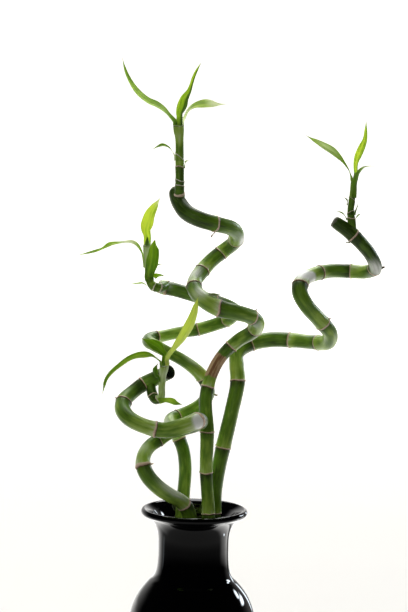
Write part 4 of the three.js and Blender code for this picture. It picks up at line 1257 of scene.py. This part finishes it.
def smooth_wall(points, steps=8):
    """A Catmull-Rom curve through radii and heights."""
    table = np.array([points[0], *points, points[-1]], float)
    t = (np.arange(steps) / steps)[:, None]
    rows = [eased(b, c, (c - a) / 2, (d - b) / 2, t)
            for a, b, c, d in zip(table, table[1:], table[2:], table[3:])]
    return np.vstack([*rows, table[-1:]])


INSIDE = smooth_wall(INNER_WALL)


def inside_radius(height):
    """The radius of the vase's inner wall at a height."""
    return np.interp(height, INSIDE[::-1, 1], INSIDE[::-1, 0])


def lathed(profile, sides):
    """A grid of rings about the vase's axis, from radii and heights."""
    radius, height = np.asarray(profile, float).T[..., None]
    angles = circle(sides)
    rings = np.broadcast_arrays(radius * np.cos(angles), radius * np.sin(angles), height)
    return np.stack(rings, axis=-1)


def vase_piece(material):
    turn = np.radians(np.linspace(-90, 120, 22))[1:]
    lip = np.array(LIP_CENTRE) + LIP_RADIUS * np.stack([np.cos(turn), np.sin(turn)], axis=1)
    outer = smooth_wall(OUTER_WALL)
    outer = outer[outer[:, 1] > 0.7]
    profile = np.vstack([FOOT, outer, lip, INSIDE, INNER_FLOOR])
    made = piece("glazed_vase", *closed_tube(lathed(profile, VASE_SIDES)))
    finish_piece(made, material, "vase")


def cane_places(height):
    """Where each cane's line crosses a height, with the cane's radius there."""
    for line in CANE_LINES.values():
        first = int(np.argmax(line.columns[2] >= height))
        yield line.columns[0, first], line.columns[1, first], line.columns[3, first]


def water_piece(material):
    """The water down to the vase's floor, with a meniscus at the wall and round each cane."""
    bottom = FLOOR_HEIGHT + FLOOR_GAP
    heights = np.concatenate([np.linspace(bottom, 20, 8), np.linspace(24, WATER_HEIGHT, 36)])
    side = np.stack([inside_radius(heights) - WATER_GAP, heights], axis=1)
    edge = side[-1, 0]
    inward = edge * (1 - np.linspace(0, 1, 34)[1:] ** 0.8 * 0.995)
    surface = np.stack([inward, np.full_like(inward, WATER_HEIGHT)], axis=1)
    grid = lathed(np.vstack([[(0.05, bottom)], side, surface]), WATER_SIDES)
    top = grid[len(side) :]
    rise = WALL_MENISCUS * np.exp((np.hypot(top[..., 0], top[..., 1]) - edge) / 1.6)
    for x, y, width in cane_places(WATER_HEIGHT):
        near = np.clip(np.hypot(top[..., 0] - x, top[..., 1] - y) - width, 0, None)
        rise = np.maximum(rise, CANE_MENISCUS * np.exp(-near / 1.4))
    top[..., 2] += rise
    finish_piece(piece("still_water", *closed_tube(grid)), material, "water")


def pebble_places():
    """Pebble middles in close layers, each shifted on the one below, clear of the canes."""
    radius = PEBBLE_SPACE / 2
    level = FLOOR_HEIGHT + FLOOR_GAP + radius
    layer = 0
    while level + radius < GRAVEL_HEIGHT + 1:
        reach = inside_radius(max(level, 11)) - radius - 0.6
        canes = list(cane_places(level))
        count = int(reach / PEBBLE_SPACE) + 2
        for row, column in itertools.product(range(-count, count + 1), repeat=2):
            x = (column + 0.5 * (row % 2) + LAYER_SHIFT * (layer % 3)) * PEBBLE_SPACE
            y = (row + LAYER_SHIFT * (layer % 3)) * PEBBLE_SPACE * ROW_STEP
            x, y = (x, y) + draw.normal(0, 0.5, 2)
            is_free = all(math.hypot(x - cx, y - cy) > width + radius * 0.7 for cx, cy, width in canes)
            if is_free and math.hypot(x, y) < reach:
                yield x, y, level + draw.normal(0, 0.4)
        level += PEBBLE_SPACE * LAYER_STEP
        layer += 1


def ball(steps):
    """A unit ball's points and its faces, which are even triangles."""
    work = bmesh.new()
    bmesh.ops.create_icosphere(work, subdivisions=steps, radius=1)
    work.verts.index_update()
    points = np.array([vertex.co for vertex in work.verts])
    faces = np.array([[vertex.index for vertex in face.verts] for face in work.faces])
    work.free()
    return points, faces


def pebbles_piece(material):
    """Rounded stones, each its own squashed and dented ball."""
    unit_points, unit_faces = ball(3)
    points, faces, tones = [], [], []
    for number, place in enumerate(pebble_places()):
        size = PEBBLE_SPACE / 2 * draw.uniform(0.82, 1.04) * np.array([1, draw.uniform(0.8, 1), 0.86])
        waves = draw.normal(0, 1.1, (3, 3))
        dents = 1 + 0.05 * np.sin(unit_points @ waves[0] + 1) + 0.04 * np.sin(unit_points @ waves[1] * 2)
        spin = Matrix.Rotation(draw.uniform(0, 2 * math.pi), 3, "Z")
        points.append((unit_points * dents[:, None] * size) @ np.array(spin).T + place)
        faces.append(unit_faces + number * len(unit_points))
        tones.append(np.full(len(unit_points), draw.uniform(0, 1)))
    made = piece("pebbles", np.vstack(points), np.vstack(faces), {"tone": np.concatenate(tones)})
    finish_piece(made, material, "gravel")


# Camera, floor and light

CAMERA_PLACE = (0.00493, -1.470, 0.4821)  # in metres
CAMERA_PITCH = math.radians(4.5)  # looking down
CAMERA_ROLL = math.radians(1.2)
CAMERA_LENS = 98  # mm
SENSOR = 36  # mm high


def build_camera():
    data = bpy.data.cameras.new("view")
    data.sensor_fit = "VERTICAL"
    data.sensor_height = SENSOR
    data.lens = CAMERA_LENS
    data.clip_end = 60
    camera = bpy.data.objects.new("view", data)
    ahead = Vector((0, math.cos(CAMERA_PITCH), -math.sin(CAMERA_PITCH)))
    level = Vector((1, 0, 0))
    rise = level.cross(ahead)
    right = math.cos(CAMERA_ROLL) * level + math.sin(CAMERA_ROLL) * rise
    above = math.cos(CAMERA_ROLL) * rise - math.sin(CAMERA_ROLL) * level
    turned = Matrix((right, above, -ahead)).transposed().to_4x4()
    camera.matrix_world = Matrix.Translation(CAMERA_PLACE) @ turned
    bpy.context.scene.collection.objects.link(camera)
    bpy.context.scene.camera = camera


STAGE_HALF = 9000  # mm, half of the floor's width
STAGE_LINES = 49  # of points each way
SWEEP_START = 4500  # how far behind the object the floor starts to rise
SWEEP_RISE = 3000
FLOOR_DROP = 0.2  # below the vase's foot


def build_floor():
    """A wide pale floor that sweeps up behind and runs out into white. The light from below comes
    from the world."""
    x, y = np.meshgrid(*[np.linspace(-STAGE_HALF, STAGE_HALF, STAGE_LINES)] * 2, indexing="ij")
    rise = SWEEP_RISE * np.clip((y - SWEEP_START) / (STAGE_HALF - SWEEP_START), 0, 1) ** 2 - FLOOR_DROP
    points = np.stack([x, y, rise], axis=-1).reshape(-1, 3)
    made = piece("studio_floor", points, grid_quads(STAGE_LINES, STAGE_LINES, False))
    paint = Finish("floor_paint")
    place = paint.place()
    away = place.node("VectorMath", {0: place}, output="Value", operation="LENGTH")
    made.data.materials.append(paint.surface(
        Base_Color=place.noise(0.7).between(rgb(247, 245, 241), rgb(244, 242, 237)), Roughness=0.62,
        Specular_IOR_Level=0.25, Emission_Color=rgb(255, 252, 246),
        Emission_Strength=0.5 * away.step(0.3, 2.4) + 0.7 * away.step(2.4, 5.5),
    ))
    made.visible_diffuse = False
    made.visible_glossy = False
    made.visible_shadow = False


# How bright the world is behind the object, beside it and below it
BACK_LIGHT = 3.2
SIDE_LIGHT = 0.45
LOW_LIGHT = 0.9

# What the glaze mirrors beside the soft light, as ellipses: bearing from straight behind towards +X
# and height of the middle, half length, half breadth, how far the length is turned up from level,
# all in degrees, and how bright it is.
WINDOWS = [
    (50, 14.5, 11, 5, 0, 15),
    (51, 22.5, 7, 4.5, 0, 15),
    (60, -27.5, 3.6, 3.6, 0, 12),
    (26.5, 3, 14, 4.5, 90, 5),
    (-66, -16, 12, 5, 90, 0.5),
]


def build_world():
    """A white studio. The camera sees it plain white, and it lights the object from behind, beside and
    below. What is mirrored is dimmer above and at the right, where the windows are."""
    world = bpy.data.worlds.new("studio")
    bpy.context.scene.world = world
    world.use_nodes = True
    tree = world.node_tree
    tree.nodes.clear()
    way = Value(new_node(tree, "TexCoord").outputs["Generated"])
    rays = new_node(tree, "LightPath").outputs
    x, y, z = way.split()

    soft = BACK_LIGHT * y.step(0.4, 0.95) + SIDE_LIGHT * y.step(0.05, 0.3)
    soft = soft + LOW_LIGHT * z.step(-0.12, -0.4) * y.step(-1.6, 0.6)
    low = z.step(-0.14, -0.26)
    right = x.step(0.1, 0.35)
    shade = 0.8 * (1 - low) * right
    shade = shade.math("MAXIMUM", shade, 0.58 * z.step(-0.04, 0.1) * x.step(0.1, -0.1))
    backdrop = 1.5 * y.step(0.35, 0.95) * z.step(0.5, 0.25)
    mirrored = backdrop * (1 - shade) + low * right * y.step(0.05, 0.4)
    mirrored = mirrored + 0.2 * z.step(-0.12, -0.4) + 0.7 * z.step(-0.45, -0.6) * y.step(0.0, 0.5)
    band = 0.9 * y.step(0.74, 0.8) * y.step(0.95, 0.9) * right * z.step(0.0, -0.12)
    mirrored = mirrored * (1 - band)
    strength = way.node("Mix", {0: Value(rays["Is Glossy Ray"]), 2: soft, 3: mirrored})

    bearing = way.math("ARCTAN2", x, y).math("DEGREES")
    height = z.math("ARCSINE").math("DEGREES")
    panes = []
    for to_side, upwards, length, breadth, turn, radiance in WINDOWS:
        aside, above = bearing - to_side, height - upwards
        cosine, sine = math.cos(math.radians(turn)), math.sin(math.radians(turn))
        lengthwise = aside * (cosine / length) + above * (sine / length)
        crosswise = above * (cosine / breadth) - aside * (sine / breadth)
        out = (lengthwise * lengthwise + crosswise * crosswise).math("SQRT")
        panes.append(radiance * out.step(1.0, 0.4))

    studio = way.node("Background", {"Color": (1.0, 0.99, 0.97, 1), "Strength": strength})
    daylight = way.node("Background", {"Color": (0.84, 0.93, 1.0, 1), "Strength": sum(panes)})
    light = way.node("AddShader", {0: studio, 1: daylight})
    seen = way.node("Background", {"Color": (1, 1, 1, 1)})
    both = way.node("MixShader", {0: Value(rays["Is Camera Ray"]), 1: light, 2: seen})
    new_node(tree, "OutputWorld", (), {"Surface": both})


LIT_PLACE = Vector((0.02, 0, 0.3))  # what the lamps point at


def soft_light(name, place, size, power, is_light=True):
    """A broad lamp, which either lights the object or is only mirrored in it."""
    data = bpy.data.lights.new(name, "AREA")
    data.shape = "RECTANGLE"
    data.size, data.size_y = size
    data.energy = power
    light = bpy.data.objects.new(name, data)
    light.location = place
    light.rotation_euler = (LIT_PLACE - Vector(place)).to_track_quat("-Z", "Y").to_euler()
    light.visible_camera = False
    light.visible_diffuse = is_light
    light.visible_transmission = is_light
    light.visible_glossy = not is_light
    bpy.context.scene.collection.objects.link(light)


# The whole scene

build_camera()
build_floor()
build_world()
soft_light("top_box", (-0.25, 0.55, 1.7), (1.5, 1.0), 14)
soft_light("front_fill", (-0.5, -2.2, 1.3), (1.6, 1.2), 14)
soft_light("sheen_box", (0.05, 1.05, 1.55), (0.8, 1.0), 11, is_light=False)

cane_skin = bark_finish("cane_skin", margins=False)
shoot_skin = bark_finish("shoot_skin", margins=True)
leaf_skin = leaf_finish()
scale_skin = scale_finish()
wax_skin = wax_finish()

for name in CANES:
    cane_piece(name, cane_skin)
    seal_piece(name, wax_skin)
    stem_piece(name, shoot_skin)
    scales_piece(name, scale_skin)
for name in LEAVES:
    leaf_piece(name, leaf_skin)
vase_piece(glaze_finish())
water_piece(water_finish())
pebbles_piece(pebble_finish())

bpy.context.scene.view_settings.view_transform = "Standard"
